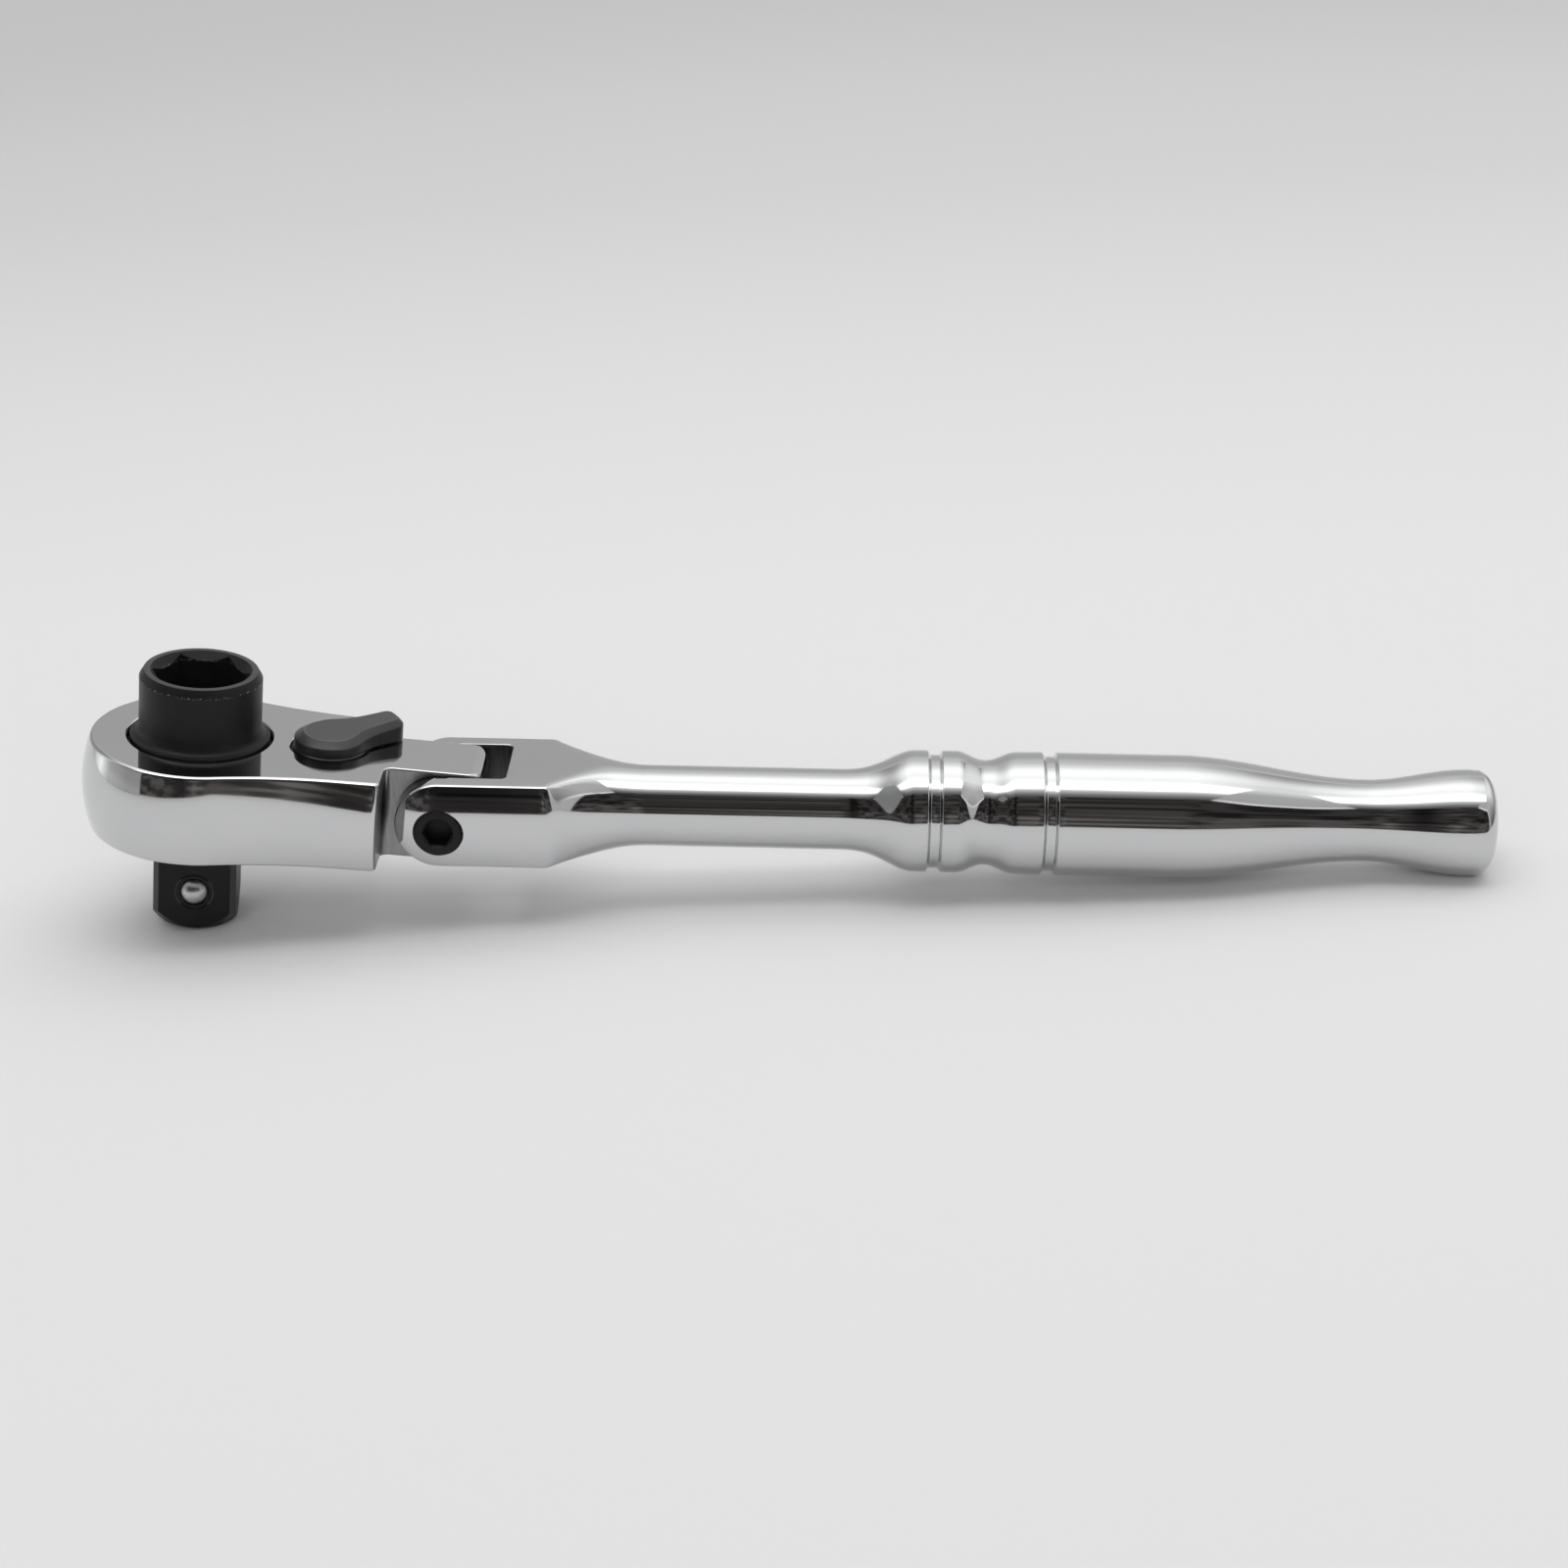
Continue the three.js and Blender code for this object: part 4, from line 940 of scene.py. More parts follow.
def rotor_trunk():
    across_flare, up_flare = FLANGE - SOCKET, FLARE_TOP - FLANGE_TOP
    skirt = [
        (FLANGE - across_flare * math.sin(a), FLARE_TOP - up_flare * math.cos(a))
        for a in fan(0, 90, 9)
    ]
    low, high = SEAL_Z - SEAL_HALF, SEAL_Z + SEAL_HALF
    foot = [(0, HUB_END), (HUB, HUB_END), (HUB, HUB_TOP), (FLANGE, HUB_TOP), (FLANGE, low)]
    foot += [(SEAL_GROOVE, low), (SEAL_GROOVE, high), (FLANGE, high)]
    rim = [(FLANGE, FLANGE_TOP - RIM_DROP), (FLANGE - RIM_IN, FLANGE_TOP)]
    crown = [(SOCKET, SOCKET_TOP - BEVEL_DOWN), (SOCKET - BEVEL_IN, SOCKET_TOP), (0, SOCKET_TOP)]
    crown = eased([skirt[-1], *crown], CROWN_EDGE, 4)
    return turned(foot + rim + skirt[1:] + crown[1:], 144)


trunk = rotor_trunk()
print("trunk faces", len(trunk.data.polygons))

# %% Square, hexagon and ball hole
SQUARE_HALF, SQUARE_CHAMFER, SQUARE_EDGE, DRIVE_END = 4.75, 0.7, 0.35, -23.0
END_FLAT, END_BEVEL, END_SLOPE, END_EDGE = 3.96, 0.45, 1.27, 0.6
HEX_HALF, HEX_FLOOR, HEX_LEAD, HEX_OVER = 4.8, -1.3, 0.95, 0.6
BALL_RADIUS, BALL_SUNK, BALL_Z, BALL_DEPTH, BALL_GAP = 1.75, 0.85, -17.95, 6.6, 0.1
BALL_MOUTH, MOUTH_DEPTH, MOUTH_EDGE, MOUTH_LIP = 1.68, 0.2, 0.05, 0.15
STAKE_RING, STAKE_WIDTH, STAKE_DEPTH, STAKE_OVER = 2.15, 0.16, 0.1, 0.05
RIM_SLACK, LEVEL_FACE, CORNER_FACE = 0.05, 0.9, 0.5


def drive_square():
    cut_half = SQUARE_HALF - SQUARE_CHAMFER
    quarter = [(SQUARE_HALF, -cut_half), (SQUARE_HALF, cut_half)]
    corners = []
    for turn in range(4):
        c, s = round(math.cos(turn * math.pi / 2)), round(math.sin(turn * math.pi / 2))
        corners += [(x * c - y * s, x * s + y * c) for x, y in quarter]
    steps = 4
    outline = eased([*corners, corners[0], corners[1]], SQUARE_EDGE, steps)[1:-1]
    return upright(outline[: len(corners) * (steps + 1)], DRIVE_END, HUB_END + BEYOND)


def end_cone():
    far = math.hypot(SQUARE_HALF, SQUARE_HALF)
    slope_top = DRIVE_END + END_BEVEL + END_SLOPE * (far - SQUARE_HALF)
    profile = [(0, DRIVE_END), (END_FLAT, DRIVE_END), (SQUARE_HALF, DRIVE_END + END_BEVEL)]
    profile += [(far, slope_top), (far + 1, slope_top + 3)]
    return turned([*eased(profile, END_EDGE, 5), (far + 1, 0), (0, 0)], 144)


def hexagon_cuts():
    low, mouth, over = SOCKET_TOP - HEX_LEAD, HEX_HALF + HEX_LEAD, SOCKET_TOP + HEX_OVER
    profile = [(0, low), (HEX_HALF, low), (mouth, SOCKET_TOP), (mouth + 1, over), (0, over)]
    return [upright(hexagon(HEX_HALF), HEX_FLOOR, SOCKET_TOP + 1), turned(profile, 144)]


def ball_hole():
    bore, mouth, over = BALL_RADIUS + BALL_GAP, BALL_MOUTH, BALL_GAP
    profile = [(0, -BALL_DEPTH), (bore, -BALL_DEPTH), (bore, -MOUTH_DEPTH), (mouth, -MOUTH_DEPTH)]
    profile += [(mouth, -MOUTH_EDGE), (mouth + MOUTH_LIP, over), (0, over)]
    inner, outer = (STAKE_RING - STAKE_WIDTH, STAKE_OVER), (STAKE_RING + STAKE_WIDTH, STAKE_OVER)
    ring = [inner, (STAKE_RING, -STAKE_DEPTH), outer, inner]
    place = shift(y=-SQUARE_HALF)
    return [moved(across(turned(shape, 64), BALL_Z), place) for shape in (profile, ring)]


# Faces that get the painted sheen: the top face of the socket's rim and the corner flats of the square.
def black_sheen_faces(place, normal):
    on_rim = place.z > SOCKET_TOP - RIM_SLACK and normal.z > LEVEL_FACE
    on_corner = place.z < HUB_END and min(abs(normal.x), abs(normal.y)) > CORNER_FACE
    return on_rim or on_corner


cut(trunk, [cut(drive_square(), [end_cone()], "INTERSECT")], "UNION")
cut(trunk, [*hexagon_cuts(), *ball_hole(), under_bench(in_rotor)])
look = black_rotor, "rotor_body", "black_oxide", ["drive_rotor"]
finished(trunk, "socket_and_square", in_rotor, *look, crease=28, marked=black_sheen_faces)

# %% Ball in the square
def detent_ball():
    ball = across(turned(arc(0, 0, BALL_RADIUS, -90, 90, 40), 80), BALL_Z)
    moved(ball, shift(y=BALL_SUNK - SQUARE_HALF))
    look = scuffed_ball, "ball_body", "bright_steel", ["detent_ball"]
    return finished(ball, "snap_ball", in_rotor, *look, crease=60)


detent_ball()

# %% [markdown]
# ## Lever
# The lever is a pear in plan as well: a round end over its shaft, hollow flanks and a blunt tail.
# Its bevel is broad at the round end and narrow at the tail. Three outlines give wall and bevel,
# and a bevel modifier rounds the edges a little. These edges are painted palest, as a painted
# highlight, the top less so and the bevel least, as painted light from above.

# %% Outline of the lever
LEVER_ROUND, LEVER_TAIL, TAIL_HALF, TAIL_CORNER = 4.15, 8.85, 1.95, 1.5
FLANK_LEAN, FLANK_HOLLOW = 7.0, 8.0
LEVER_LIFT, WALL_ROUND, WALL_TAIL = 0.25, 1.0, 1.8
BEVEL_ROUND, BEVEL_TAIL, BEVEL_RISE = 1.15, 0.6, 0.75
LEVER_EDGE = 0.12


def lever_outline(margin):
    lean = math.radians(FLANK_LEAN)
    out = np.array((math.sin(lean), math.cos(lean)))
    along = np.array((math.cos(lean), -math.sin(lean)))
    flank = out @ (LEVER_TAIL, TAIL_HALF)
    rise = flank + FLANK_HOLLOW
    hollow = out * rise + along * math.sqrt((LEVER_ROUND + FLANK_HOLLOW) ** 2 - rise ** 2)
    meet = math.degrees(math.atan2(hollow[1], hollow[0]))
    corner_x = LEVER_TAIL - TAIL_CORNER
    corner_y = (flank - TAIL_CORNER - corner_x * out[0]) / out[1]
    upper = arc_with_normals(corner_x, corner_y, TAIL_CORNER, 0, 90 - FLANK_LEAN, 8, "")
    upper += arc_with_normals(*hollow, -FLANK_HOLLOW, 270 - FLANK_LEAN, 180 + meet, 12, "")
    upper += arc_with_normals(0, 0, LEVER_ROUND, meet, 180, 30, "")[1:]
    whole = upper + [(x, -y, nx, -ny, kind) for x, y, nx, ny, kind in reversed(upper[:-1])]
    return [(x - nx * margin(x), y - ny * margin(x)) for x, y, nx, ny, kind in whole]


def lever_heights(x):
    share = min(max(x / LEVER_TAIL, 0.0), 1.0)
    wall = LEVER_LIFT + WALL_ROUND + (WALL_TAIL - WALL_ROUND) * share
    return wall, BEVEL_ROUND + (BEVEL_TAIL - BEVEL_ROUND) * share


print("lever outline points", len(lever_outline(lambda x: 0.0)))

# %% Lever with its shaft
SHAFT, SHAFT_END = 2.6, -8.6
HUB_RADIUS, HUB_DEPTH, HUB_RIM, HUB_CONE, HUB_CROWN = 4.25, 0.5, 0.03, 3.05, 1.2
CLIP_GROOVE, CLIP_LOW, CLIP_HIGH = 2.1, -3.0, -2.3
PLUNGER_HOLE, PLUNGER_Z, PLUNGER_BACK, PLUNGER_OUT = 0.88, -5.65, 1.8, 4
WALL_FACE, CHAMFER_FACE, TOP_FACE = 0.3, 0.9, 0.985
CHAMFER_SHEEN, TOP_SHEEN = 0.25, 0.6


def thumb():
    full = lever_outline(lambda x: 0.0)
    inner = lever_outline(lambda x: lever_heights(x)[1])
    levels = [[(x, y, LEVER_LIFT - 1) for x, y in full]]
    levels.append([(x, y, lever_heights(x)[0]) for x, y in full])
    levels.append([(x, y, lever_heights(x)[0] + BEVEL_RISE) for x, y in inner])
    below = upright(square_outline(2 * LEVER_TAIL), LEVER_LIFT - 2, LEVER_LIFT)
    return cut(bevelled(stack(levels), LEVER_EDGE, 2, 20), [below])


# How much painted sheen a face of the lever gets: most on the edges round its top, less on the top, least on the
# bevel.
def lever_sheen_faces(place, normal):
    if place.z < LEVER_LIFT + WALL_ROUND / 2 or normal.z < WALL_FACE:
        return 0.0
    if normal.z < CHAMFER_FACE:
        return CHAMFER_SHEEN
    return TOP_SHEEN if normal.z > TOP_FACE else 1.0


def lever():
    profile = [(0, SHAFT_END), (SHAFT, SHAFT_END), (SHAFT, CLIP_LOW), (CLIP_GROOVE, CLIP_LOW)]
    profile += [(CLIP_GROOVE, CLIP_HIGH), (SHAFT, CLIP_HIGH), (SHAFT, -HUB_DEPTH)]
    profile += [(HUB_RADIUS, -HUB_DEPTH), (HUB_RADIUS, HUB_RIM)]
    profile += [(HUB_CONE, HUB_CROWN), (0, HUB_CROWN)]
    shape = cut(thumb(), [turned(profile, 96)], "UNION")
    bore = plug(PLUNGER_HOLE, -PLUNGER_BACK, PLUNGER_OUT, 32)
    lying = Matrix.Rotation(math.radians(-90), 4, "Y")
    cut(shape, [moved(bore, shift(z=PLUNGER_Z) @ lying)])
    look = grey_coat, "lever_body", "lever_coat", ["reverse_lever"]
    return finished(shape, "thumb_lever", in_lever, *look, crease=40, marked=lever_sheen_faces)


lever()

# %% [markdown]
# ## Hinge screw
# The hinge turns on one shouldered screw, blackened, with a hexagon recess in its head.

# %% Hinge screw
PIVOT_HEAD, PIVOT_SHOULDER, PIVOT_THREAD, PIVOT_END = 2.77, 2.45, 2.05, 8.25
PIVOT_HEX, PIVOT_HEX_DEPTH, PIVOT_EDGE, PIVOT_STEP = 3.05, 2.2, 0.22, 0.1
PIVOT_MOUTH, PIVOT_MOUTH_DEPTH, PIVOT_OVER = 0.35, 0.3, 0.05


def hinge_screw():
    end, low, high = PIVOT_END, -SLOT_HALF, SLOT_HALF + PIVOT_STEP
    profile = [(0, -end), (PIVOT_THREAD, -end), (PIVOT_THREAD, low)]
    profile += [(PIVOT_SHOULDER, low + PIVOT_STEP), (PIVOT_SHOULDER, high)]
    profile += [(PIVOT_HEAD, high), (PIVOT_HEAD, end), (0, end)]
    shape = turned(eased(profile, PIVOT_EDGE, 4), 96)
    recess = upright(hexagon(PIVOT_HEX / 2), end - PIVOT_HEX_DEPTH, end + 1)
    mouth_low, over, half = end - PIVOT_MOUTH_DEPTH, end + PIVOT_OVER, PIVOT_HEX / 2
    mouth = turned([(0, mouth_low), (half, mouth_low), (half + PIVOT_MOUTH, over), (0, over)], 64)
    cut(shape, [recess, mouth])
    look = black_screw, "handle_body", "black_oxide", ["hinge_screw"]
    return finished(across(shape), "pivot_screw", in_hinge, *look, crease=28)


hinge_screw()

# %% [markdown]
# ## Cover and its screws
# A plate closes the head from below, held by two countersunk screws. The screws are alike, so
# Geometry Nodes set one screw on each of the plate's two screw points.

# %% Base cover
HUB_HOLE, SCREW_SHANK, SCREW_HEAD, SCREW_LENGTH = 7.08, 0.95, 1.8, 5.0
SCREW_HEX, SCREW_HEX_DEPTH, SCREW_EDGE = 0.75, 0.7, 0.08
SINK_DEPTH, SINK_GAP, PLATE_EDGE = 0.85, 0.1, 0.15


def base_cover():
    base = -HEAD_THICK
    plate = bevelled(upright(cover_outline(0), base, base + COVER_THICK), PLATE_EDGE, 3, 40)
    cuts = [plug(HUB_HOLE, base - 1, 0, 128)]
    low, head, shank = base - SINK_GAP, SCREW_HEAD + 2 * SINK_GAP, SCREW_SHANK + SINK_GAP
    sink = [(0, low), (head, low), (shank, base + SINK_DEPTH), (shank, 0), (0, 0)]
    for y in (-COVER_REAR_HALF, COVER_REAR_HALF):
        cuts.append(moved(turned(sink, 48), shift(COVER_REAR_X, y)))
    look = chrome, "head_body", "plated_steel", ["base_cover"]
    return finished(cut(plate, cuts), "bottom_plate", in_head, *look)


base_cover()

# %% Screws by Geometry Nodes
def screw_blank():
    base, tip = -HEAD_THICK, SCREW_LENGTH - HEAD_THICK
    profile = [(0, base), (SCREW_HEAD, base), (SCREW_SHANK, base + SINK_DEPTH)]
    profile += [(SCREW_SHANK, tip), (0, tip)]
    shape = turned(eased(profile, SCREW_EDGE, 3), 48)
    return cut(shape, [upright(arc(0, 0, SCREW_HEX, 0, 300, 5), base - 1, base + SCREW_HEX_DEPTH)])


def cover_screws():
    blank_screw = screw_blank()
    recipe = Recipe("cover_screws", ["Screw x", "Screw half spacing"])
    half = recipe.size("Screw half spacing")
    start = recipe.node("ShaderNodeCombineXYZ", {}, {0: recipe.size("Screw x"), 1: 0.0 - half})
    step = recipe.node("ShaderNodeCombineXYZ", {}, {1: half * 2.0})
    values = {"Count": 2, "Start Location": start, "Offset": step}
    line = recipe.node("GeometryNodeMeshLine", {}, values)
    screw = recipe.node("GeometryNodeObjectInfo", {}, {"Object": blank_screw}, "Geometry")
    values = {"Points": line, "Instance": screw}
    pair = recipe.node("GeometryNodeInstanceOnPoints", {}, values)
    recipe.close(pair, black_screw)
    shape = new_object("cover_screws", [(0, 0, 0)], [])
    recipe.run(shape, {"Screw x": COVER_REAR_X, "Screw half spacing": COVER_REAR_HALF})
    bpy.data.objects.remove(blank_screw)
    nodes = ["cover_screw_near", "cover_screw_far"]
    look = black_screw, "head_body", "black_oxide", nodes
    return finished(shape, "plate_screws", in_head, *look, crease=28)


cover_screws()

# %% [markdown]
# ## Springs and seals
# A coil spring is a wire that follows a helix, and a seal is a cord that follows a circle. Both
# are a curve with a round section, which Geometry Nodes make from a few sizes.

# %% Coil springs by Geometry Nodes
def circle(recipe, steps, label):
    values = {"Resolution": steps, "Radius": recipe.size(label)}
    return recipe.node("GeometryNodeCurvePrimitiveCircle", {}, values)


def coil_recipe():
    recipe = Recipe("coil", ["Radius", "Wire", "Length", "Turns"])
    radius, turns, length = (recipe.size(label) for label in ("Radius", "Turns", "Length"))
    values = {"Resolution": 40, "Rotations": turns, "Height": length}
    values |= {"Start Radius": radius, "End Radius": radius}
    helix = recipe.node("GeometryNodeCurveSpiral", {}, values)
    values = {0: helix, "Profile Curve": circle(recipe, 12, "Wire"), "Fill Caps": True}
    recipe.close(recipe.node("GeometryNodeCurveToMesh", {}, values), dull_steel)
    return recipe


coil = coil_recipe()


def coil_spring(name, sizes, place, body, node, joint):
    shape = coil.run(new_object(name, [(0, 0, 0)], []), sizes)
    finished(shape, name, place, dull_steel, body, "spring_steel", [node], crease=50)
    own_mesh(shape)


BALL_SPRING = {"Radius": 1.25, "Wire": 0.2, "Length": 3.3, "Turns": 4}
PLUNGER_SPRING = {"Radius": 0.5, "Wire": 0.13, "Length": 1.84, "Turns": 2.5}
BALL_SPRING_Y, PLUNGER_SPRING_X = 3.0 - SQUARE_HALF, 1.57
ball_seat = shift(0, BALL_SPRING_Y, BALL_Z) @ Matrix.Rotation(math.radians(-90), 4, "X")
plunger_seat = shift(PLUNGER_SPRING_X, 0, PLUNGER_Z) @ Matrix.Rotation(math.radians(-90), 4, "Y")
in_square = "rotor_body", "detent_spring", "ball_press"
in_shaft = "lever_body", "plunger_spring", "plunger_slide"
coil_spring("ball_spring", BALL_SPRING, in_rotor @ ball_seat, *in_square)
coil_spring("plunger_coil", PLUNGER_SPRING, in_lever @ plunger_seat, *in_shaft)

# %% Seals by Geometry Nodes
def seal_recipe():
    recipe = Recipe("seal", ["Radius", "Cord"])
    values = {0: circle(recipe, 96, "Radius"), "Profile Curve": circle(recipe, 16, "Cord")}
    recipe.close(recipe.node("GeometryNodeCurveToMesh", {}, values), rubber)
    return recipe


seal = seal_recipe()


def seal_ring(name, sizes, place, height, body, node):
    shape = seal.run(new_object(name, [(0, 0, 0)], []), sizes)
    moved(shape, shift(z=height))
    return finished(shape, name, place, rubber, body, "seal_rubber", [node], crease=60)


ROTOR_SEAL = {"Radius": 7.78, "Cord": 0.42}
LEVER_SEAL, LEVER_SEAL_Z = {"Radius": 3.4, "Cord": 0.38}, -0.95
seal_ring("rotor_o_ring", ROTOR_SEAL, in_rotor, SEAL_Z, "rotor_body", "rotor_seal")
seal_ring("lever_o_ring", LEVER_SEAL, in_lever, LEVER_SEAL_Z, "lever_body", "lever_seal")

# %% [markdown]
# ## Pieces inside
# Pawl, pins, clip, plunger and washers are plain solids that the head hides, so their solids stay
# and take the finish of their slot.

# %% Finishes on the solids that stay
inner_finish = {"bright_steel": bright_steel, "spring_steel": dull_steel}
for part in frame["record"]["subparts"]:
    node = frame["nodes"][part["node"]]
    if not node.hide_render:
        node.data.materials.clear()
        node.data.materials.append(inner_finish[part["material_slot"]])
        print("solid kept", part["node"], part["material_slot"])

# %% [markdown]
# ## Studio
# A mirror only shows what is round it, so the studio is part of the likeness. The tool lies on a
# pale sheet inside a light tent: soft light overhead, white walls behind and at both sides, and an
# open front through which the dark room shows. That gives the plated bar its order from below:
# pale sheet, dark room, white light, grey wall. The walls are cards that glow by two ramps, one
# along each edge, and the camera doesn't see them. The dark room is one more card, almost black,
# and a last one fills the shadows softly from the front without showing in the plating.

# %% Pale sheet
SHEET_COLOUR = (0.775, 0.775, 0.78)
# The sheet is graded darker towards the back, painted shade for the light that falls off there.
SHEET_FALLOFF_SHADE = [(0.0, 1.0), (0.15, 1.0), (0.29, 0.96), (0.49, 0.88), (0.78, 0.88)]
GRADE_START, GRADE_LENGTH = -0.02, 0.8
SHEET_HALF, FADE_START, FADE_END, FADE_LEVEL = 15.0, 0.5, 0.85, 0.55


def seen_directly(graph):
    """1 for what the camera sees itself, in a mirror or through glass, else 0."""
    kinds = ("Is Camera Ray", "Is Glossy Ray", "Is Transmission Ray")
    rays = [graph.node("ShaderNodeLightPath", {}, {}, kind) for kind in kinds]
    total = rays[0] + rays[1] + rays[2]
    return total.maths("MINIMUM", total, 1.0)


def paper():
    finish = Finish("pale_sheet", SHEET_COLOUR, 0.0, 0.85)
    cloud = finish.noise(60.0, 2.0)
    depth = finish.node("ShaderNodeSeparateXYZ", {}, {0: finish.place}, 1)
    share = (depth - GRADE_START) / GRADE_LENGTH
    # Painted shade: darker towards the back of the sheet.
    falloff_shade = finish.node("ShaderNodeValToRGB", {"stops": SHEET_FALLOFF_SHADE}, {0: share})
    colour = finish.mixed(falloff_shade * (0.995 + 0.005 * cloud), (0, 0, 0, 1), (*SHEET_COLOUR, 1))
    finish.put("Base Color", colour)
    finish.put("Specular IOR Level", 0.2)
    far = finish.node("ShaderNodeVectorMath", {"operation": "LENGTH"}, {0: finish.place}, "Value")
    fade = stepped(finish, (far - FADE_START) / (FADE_END - FADE_START), 0.0, 1.0)
    haze = finish.node("ShaderNodeEmission", {}, {"Color": (FADE_LEVEL, FADE_LEVEL, FADE_LEVEL, 1)})
    lit = Wire(finish, finish.shader.outputs["BSDF"])
    values = {0: fade * seen_directly(finish), 1: lit, 2: haze}
    whole = finish.node("ShaderNodeMixShader", {}, values)
    finish.join(whole, finish.tree.nodes["Material Output"].inputs["Surface"])
    return finish.material


def pale_sheet():
    corners = [(x, y, 0) for x, y in square_outline(SHEET_HALF)]
    sheet = new_object("pale_sheet", corners, [(0, 1, 2, 3)])
    sheet.data.materials.append(paper())


pale_sheet()
print("sheet ready")

# %% Cards of the tent
TENT_HALF, TENT_FRONT, TENT_BACK, TENT_TOP, OVERHANG = 0.62, -0.5, 1.0, 0.8, 0.05
STREAK_LOW, STREAK_START, STREAK_END = 0.3, 0.42, 0.55


def card(name, corners, strength, along, up, tint=(1.0, 1.0, 1.0), streaks=None, mirrored=True):
    """A glowing card from its first corner along its first and last edges."""
    board = new_object(name, corners, [(0, 1, 2, 3)])
    layer = board.data.uv_layers.new(name="edges")
    for loop, place in zip(layer.data, [(0, 0), (1, 0), (1, 1), (0, 1)]):
        loop.uv = place
    material = bpy.data.materials.new(name)
    material.use_nodes = True
    graph = Graph(material.node_tree)
    graph.tree.nodes.clear()
    edges = graph.node("ShaderNodeUVMap", {"uv_map": "edges"}, {})
    ramps = []
    for axis, stops in ((0, along), (1, up)):
        share = graph.node("ShaderNodeSeparateXYZ", {}, {0: edges}, axis)
        ramps.append(graph.node("ShaderNodeValToRGB", {"stops": stops}, {0: share}))
    level = ramps[0] * ramps[1] * strength
    if streaks:
        settings = {"operation": "MULTIPLY"}
        drawn_out = graph.node("ShaderNodeVectorMath", settings, {0: edges, 1: streaks})
        values = {"Vector": drawn_out, "Scale": 1.0, "Detail": 2.0}
        cloud = graph.node("ShaderNodeTexNoise", {}, values, "Fac")
        patch = stepped(graph, cloud, STREAK_START, STREAK_END)
        level = level * (STREAK_LOW + (1 - STREAK_LOW) * patch)
    light = graph.node("ShaderNodeEmission", {}, {"Color": (*tint, 1), "Strength": level})
    graph.join(light, graph.tree.nodes.new("ShaderNodeOutputMaterial").inputs["Surface"])
    board.data.materials.append(material)
    board.visible_camera = False
    board.visible_glossy = mirrored


def upright_card(name, start, end, height, *look):
    (x0, y0), (x1, y1) = start, end
    corners = [(x0, y0, 0), (x1, y1, 0), (x1, y1, height), (x0, y0, height)]
    card(name, corners, *look)


OVERHEAD_WIDTH = [(0.0, 0.35), (0.15, 0.8), (0.3, 1.0), (0.7, 1.0), (0.85, 0.8), (1.0, 0.35)]
OVERHEAD_DEPTH = [
    (0.0, 0.025), (0.074, 0.08), (0.097, 0.12), (0.14, 0.19), (0.17, 0.34), (0.2, 0.8),
    (0.235, 1.0), (0.29, 1.0), (0.32, 0.75), (0.345, 0.42), (0.4, 0.4), (0.467, 0.44),
    (0.519, 0.45), (0.581, 0.42), (0.624, 0.38), (0.671, 0.32), (0.811, 0.23), (1.0, 0.2),
]
BACK_HEIGHT = [(0.0, 0.75), (0.1, 0.66), (0.25, 0.62), (0.6, 0.62), (0.85, 0.75), (1.0, 0.85)]
BACK_WIDTH = [(0.0, 0.85), (0.35, 0.92), (0.6, 1.0), (1.0, 1.0)]
LEFT_DEPTH = [
    (0.0, 0.33), (0.15, 0.33), (0.24, 0.4), (0.32, 0.46), (0.365, 0.7), (0.41, 1.0), (0.467, 0.73),
    (0.537, 0.42), (1.0, 0.45),
]
LEFT_HEIGHT = [(0.0, 0.9), (0.05, 1.0), (0.12, 0.8), (0.25, 0.8), (0.4, 0.6), (1.0, 0.6)]
RIGHT_DEPTH = [
    (0.0, 0.95), (0.015, 0.95), (0.03, 0.45), (0.2, 0.5), (0.35, 0.95), (0.5, 0.95), (1.0, 0.5),
]
RIGHT_HEIGHT = [(0.0, 0.15), (0.05, 0.3), (0.15, 0.4), (0.3, 0.75), (0.5, 1.0), (1.0, 0.9)]
RIGHT_FOOT, RIGHT_HEAD = (0.62, -0.25, 0.0), (0.38, -0.55, 0.8)
ROOM_WIDTH = [
    (0.0, 0.6), (0.36, 0.6), (0.4, 0.2), (0.455, 0.15), (0.475, 0.5), (0.5, 0.75), (0.53, 1.0),
    (0.57, 1.0), (0.6, 0.6), (1.0, 0.6),
]
ROOM_HEIGHT = [(0.0, 1.0), (0.24, 1.0), (0.27, 0.45), (0.6, 0.48), (0.8, 0.5), (1.0, 0.6)]
ROOM_HALF, ROOM_Y, ROOM_TOP = 1.6, -1.2, 1.8
ROOM_TINT, ROOM_STREAKS = (1.0, 0.93, 0.9), (8.0, 10.0, 1.0)
FILL_HALF, FILL_Y, FILL_LOW, FILL_HIGH = 0.8, -1.1, 0.3, 1.2
EVEN = [(0.0, 1.0), (1.0, 1.0)]
OVERHEAD_GLOW, BACK_GLOW, LEFT_GLOW, RIGHT_GLOW = 3.6, 0.86, 1.38, 1.25
ROOM_GLOW, FILL_GLOW = 0.18, 1.6

front, back, half, high = TENT_FRONT - OVERHANG, TENT_BACK, TENT_HALF, TENT_TOP
overhead = [(-half, front, high), (half, front, high), (half, back, high), (-half, back, high)]
card("overhead_card", overhead, OVERHEAD_GLOW, OVERHEAD_WIDTH, OVERHEAD_DEPTH)
upright_card("back_card", (-half, back), (half, back), high, BACK_GLOW, BACK_WIDTH, BACK_HEIGHT)
left = (-half, TENT_FRONT), (-half, back)
upright_card("left_card", *left, high, LEFT_GLOW, LEFT_DEPTH, LEFT_HEIGHT)
right = [RIGHT_FOOT, (half, back, 0), (half, back, high), RIGHT_HEAD]
card("right_card", right, RIGHT_GLOW, RIGHT_DEPTH, RIGHT_HEIGHT)
room = (-ROOM_HALF, ROOM_Y), (ROOM_HALF, ROOM_Y)
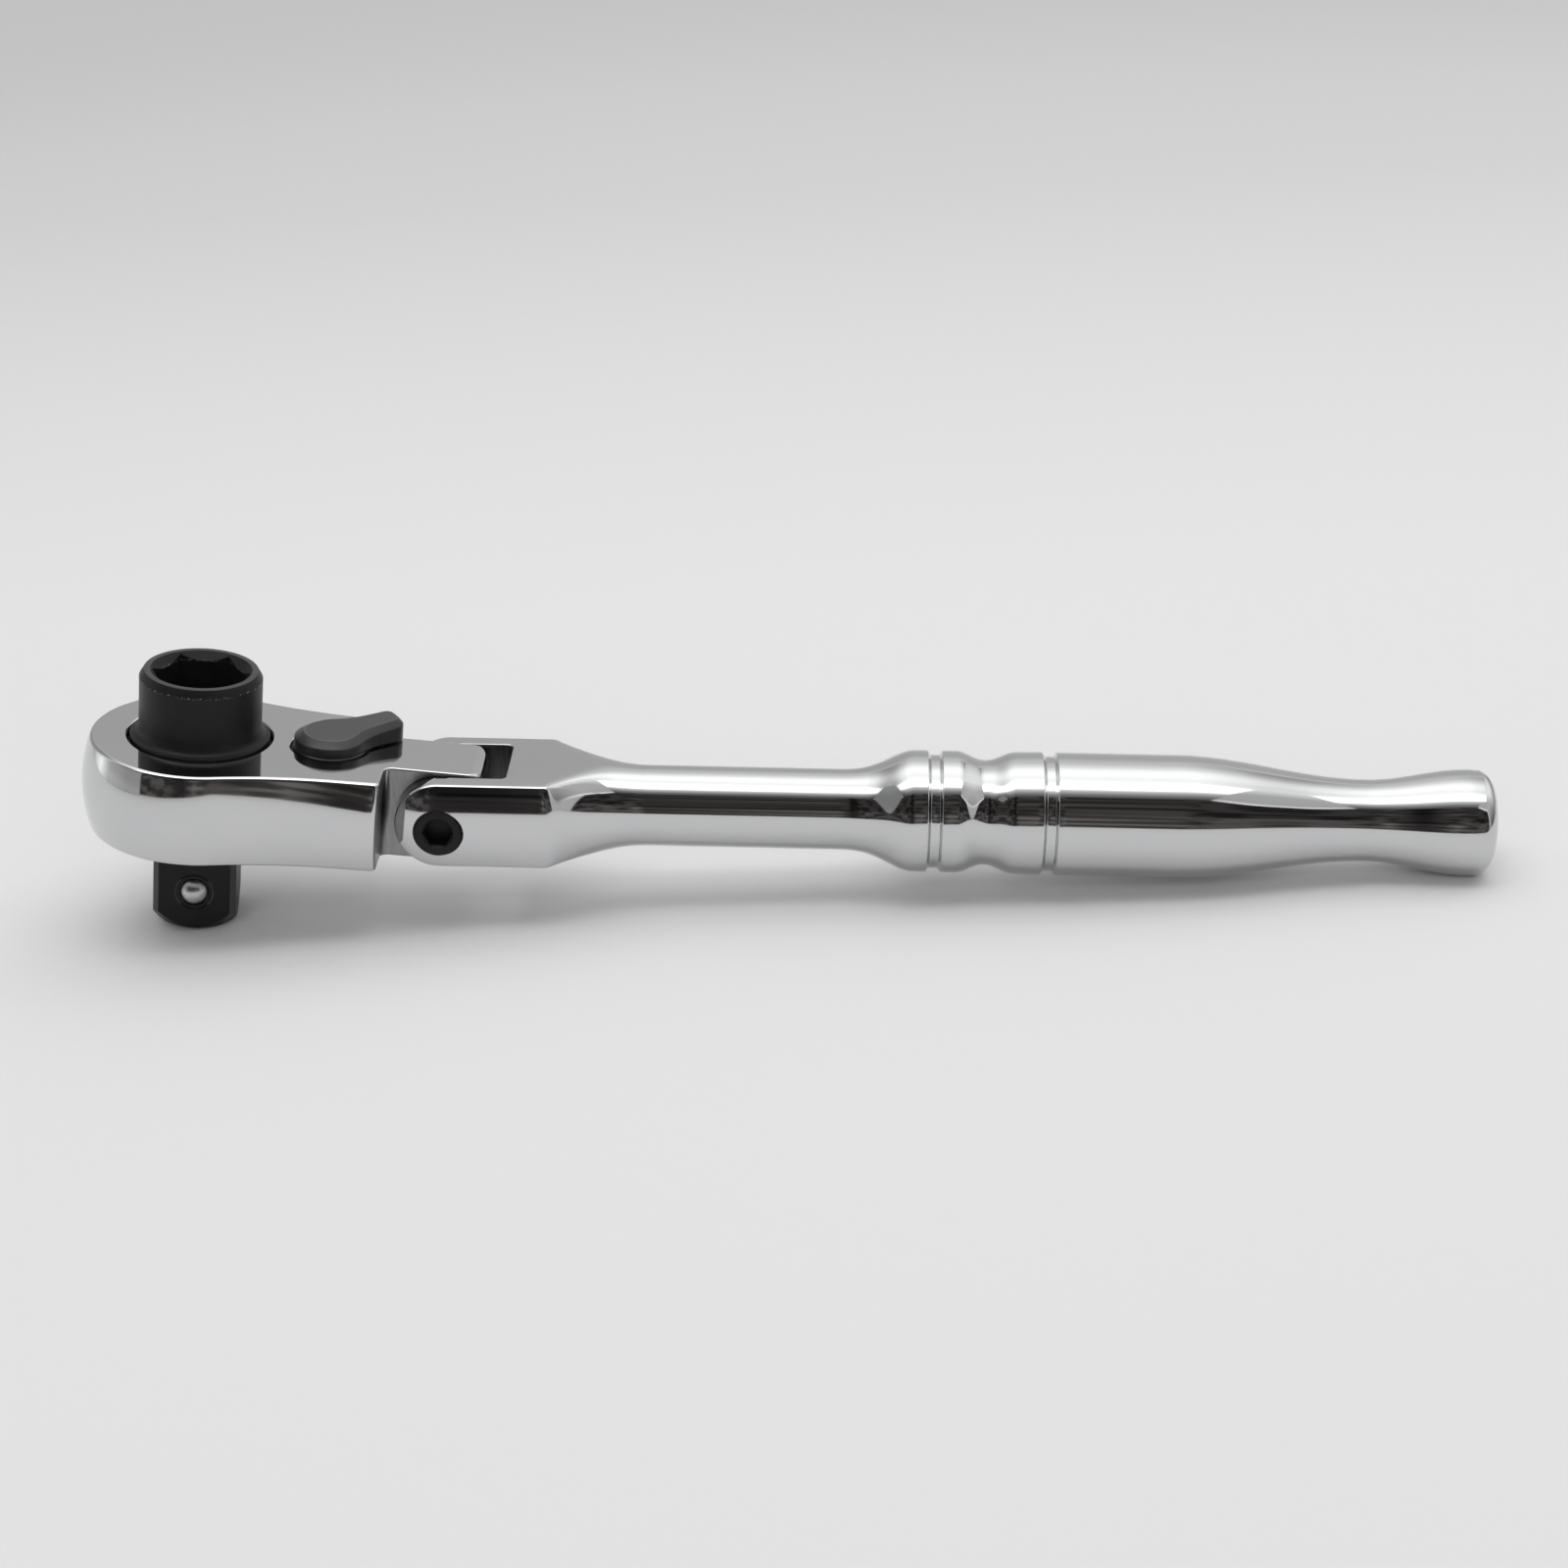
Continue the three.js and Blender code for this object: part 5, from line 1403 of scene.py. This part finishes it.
dim = ROOM_GLOW, ROOM_WIDTH, ROOM_HEIGHT, ROOM_TINT, ROOM_STREAKS
upright_card("room_card", *room, ROOM_TOP, *dim)
fill = [(-FILL_HALF, FILL_Y, FILL_LOW), (FILL_HALF, FILL_Y, FILL_LOW)]
fill += [(FILL_HALF, FILL_Y, FILL_HIGH), (-FILL_HALF, FILL_Y, FILL_HIGH)]
card("fill_card", fill, FILL_GLOW, EVEN, EVEN, mirrored=False)
print("tent ready")

# %% [markdown]
# The world gives hardly any light. Where the camera or a mirror looks past the sheet and the cards,
# it shows the same pale haze that the sheet fades to.

# %% World
WORLD_LIGHT = 0.043

world = bpy.data.worlds.new("pale_haze")
scene.world = world
world.use_nodes = True
sky = Graph(world.node_tree)
level = WORLD_LIGHT + (FADE_LEVEL - WORLD_LIGHT) * seen_directly(sky)
sky.join(level, world.node_tree.nodes["Background"].inputs["Color"])
scene.view_settings.view_transform = "Standard"
print("world", world.name)

# %% [markdown]
# ## Camera
# The photograph was taken from the drive's side, a little above, with a long lens and slightly
# rolled. Its place follows from the tool's own measures, so it is written as a bearing, a height
# and a distance from a point near the middle of the tool.

# %% Camera
CAMERA_TARGET = Vector((-0.0003, 0.0, 0.0140))
CAMERA_AZIMUTH, CAMERA_HEIGHT, CAMERA_ROLL = (math.radians(a) for a in (2.225, 23.52, 3.06))
CAMERA_DISTANCE, CAMERA_LENS, CAMERA_SENSOR, CAMERA_NEAR = 0.35144, 69.84, 36, 0.01


def camera():
    flat, lift = math.cos(CAMERA_HEIGHT), math.sin(CAMERA_HEIGHT)
    level = Vector((math.cos(CAMERA_AZIMUTH), math.sin(CAMERA_AZIMUTH), 0))
    back = Vector((level.y * flat, -level.x * flat, lift))
    rise = back.cross(level)
    right = level * math.cos(CAMERA_ROLL) - rise * math.sin(CAMERA_ROLL)
    up = rise * math.cos(CAMERA_ROLL) + level * math.sin(CAMERA_ROLL)
    turn = Matrix((right, up, back)).transposed().to_4x4()
    data = bpy.data.cameras.new("camera")
    data.lens = CAMERA_LENS
    data.sensor_width = CAMERA_SENSOR
    data.sensor_fit = "HORIZONTAL"
    data.clip_start = CAMERA_NEAR
    eye = bpy.data.objects.new("camera", data)
    eye.matrix_world = shift(*(CAMERA_TARGET + back * CAMERA_DISTANCE)) @ turn
    scene.collection.objects.link(eye)
    scene.camera = eye
    print("camera", [round(v, 4) for v in eye.location])


camera()
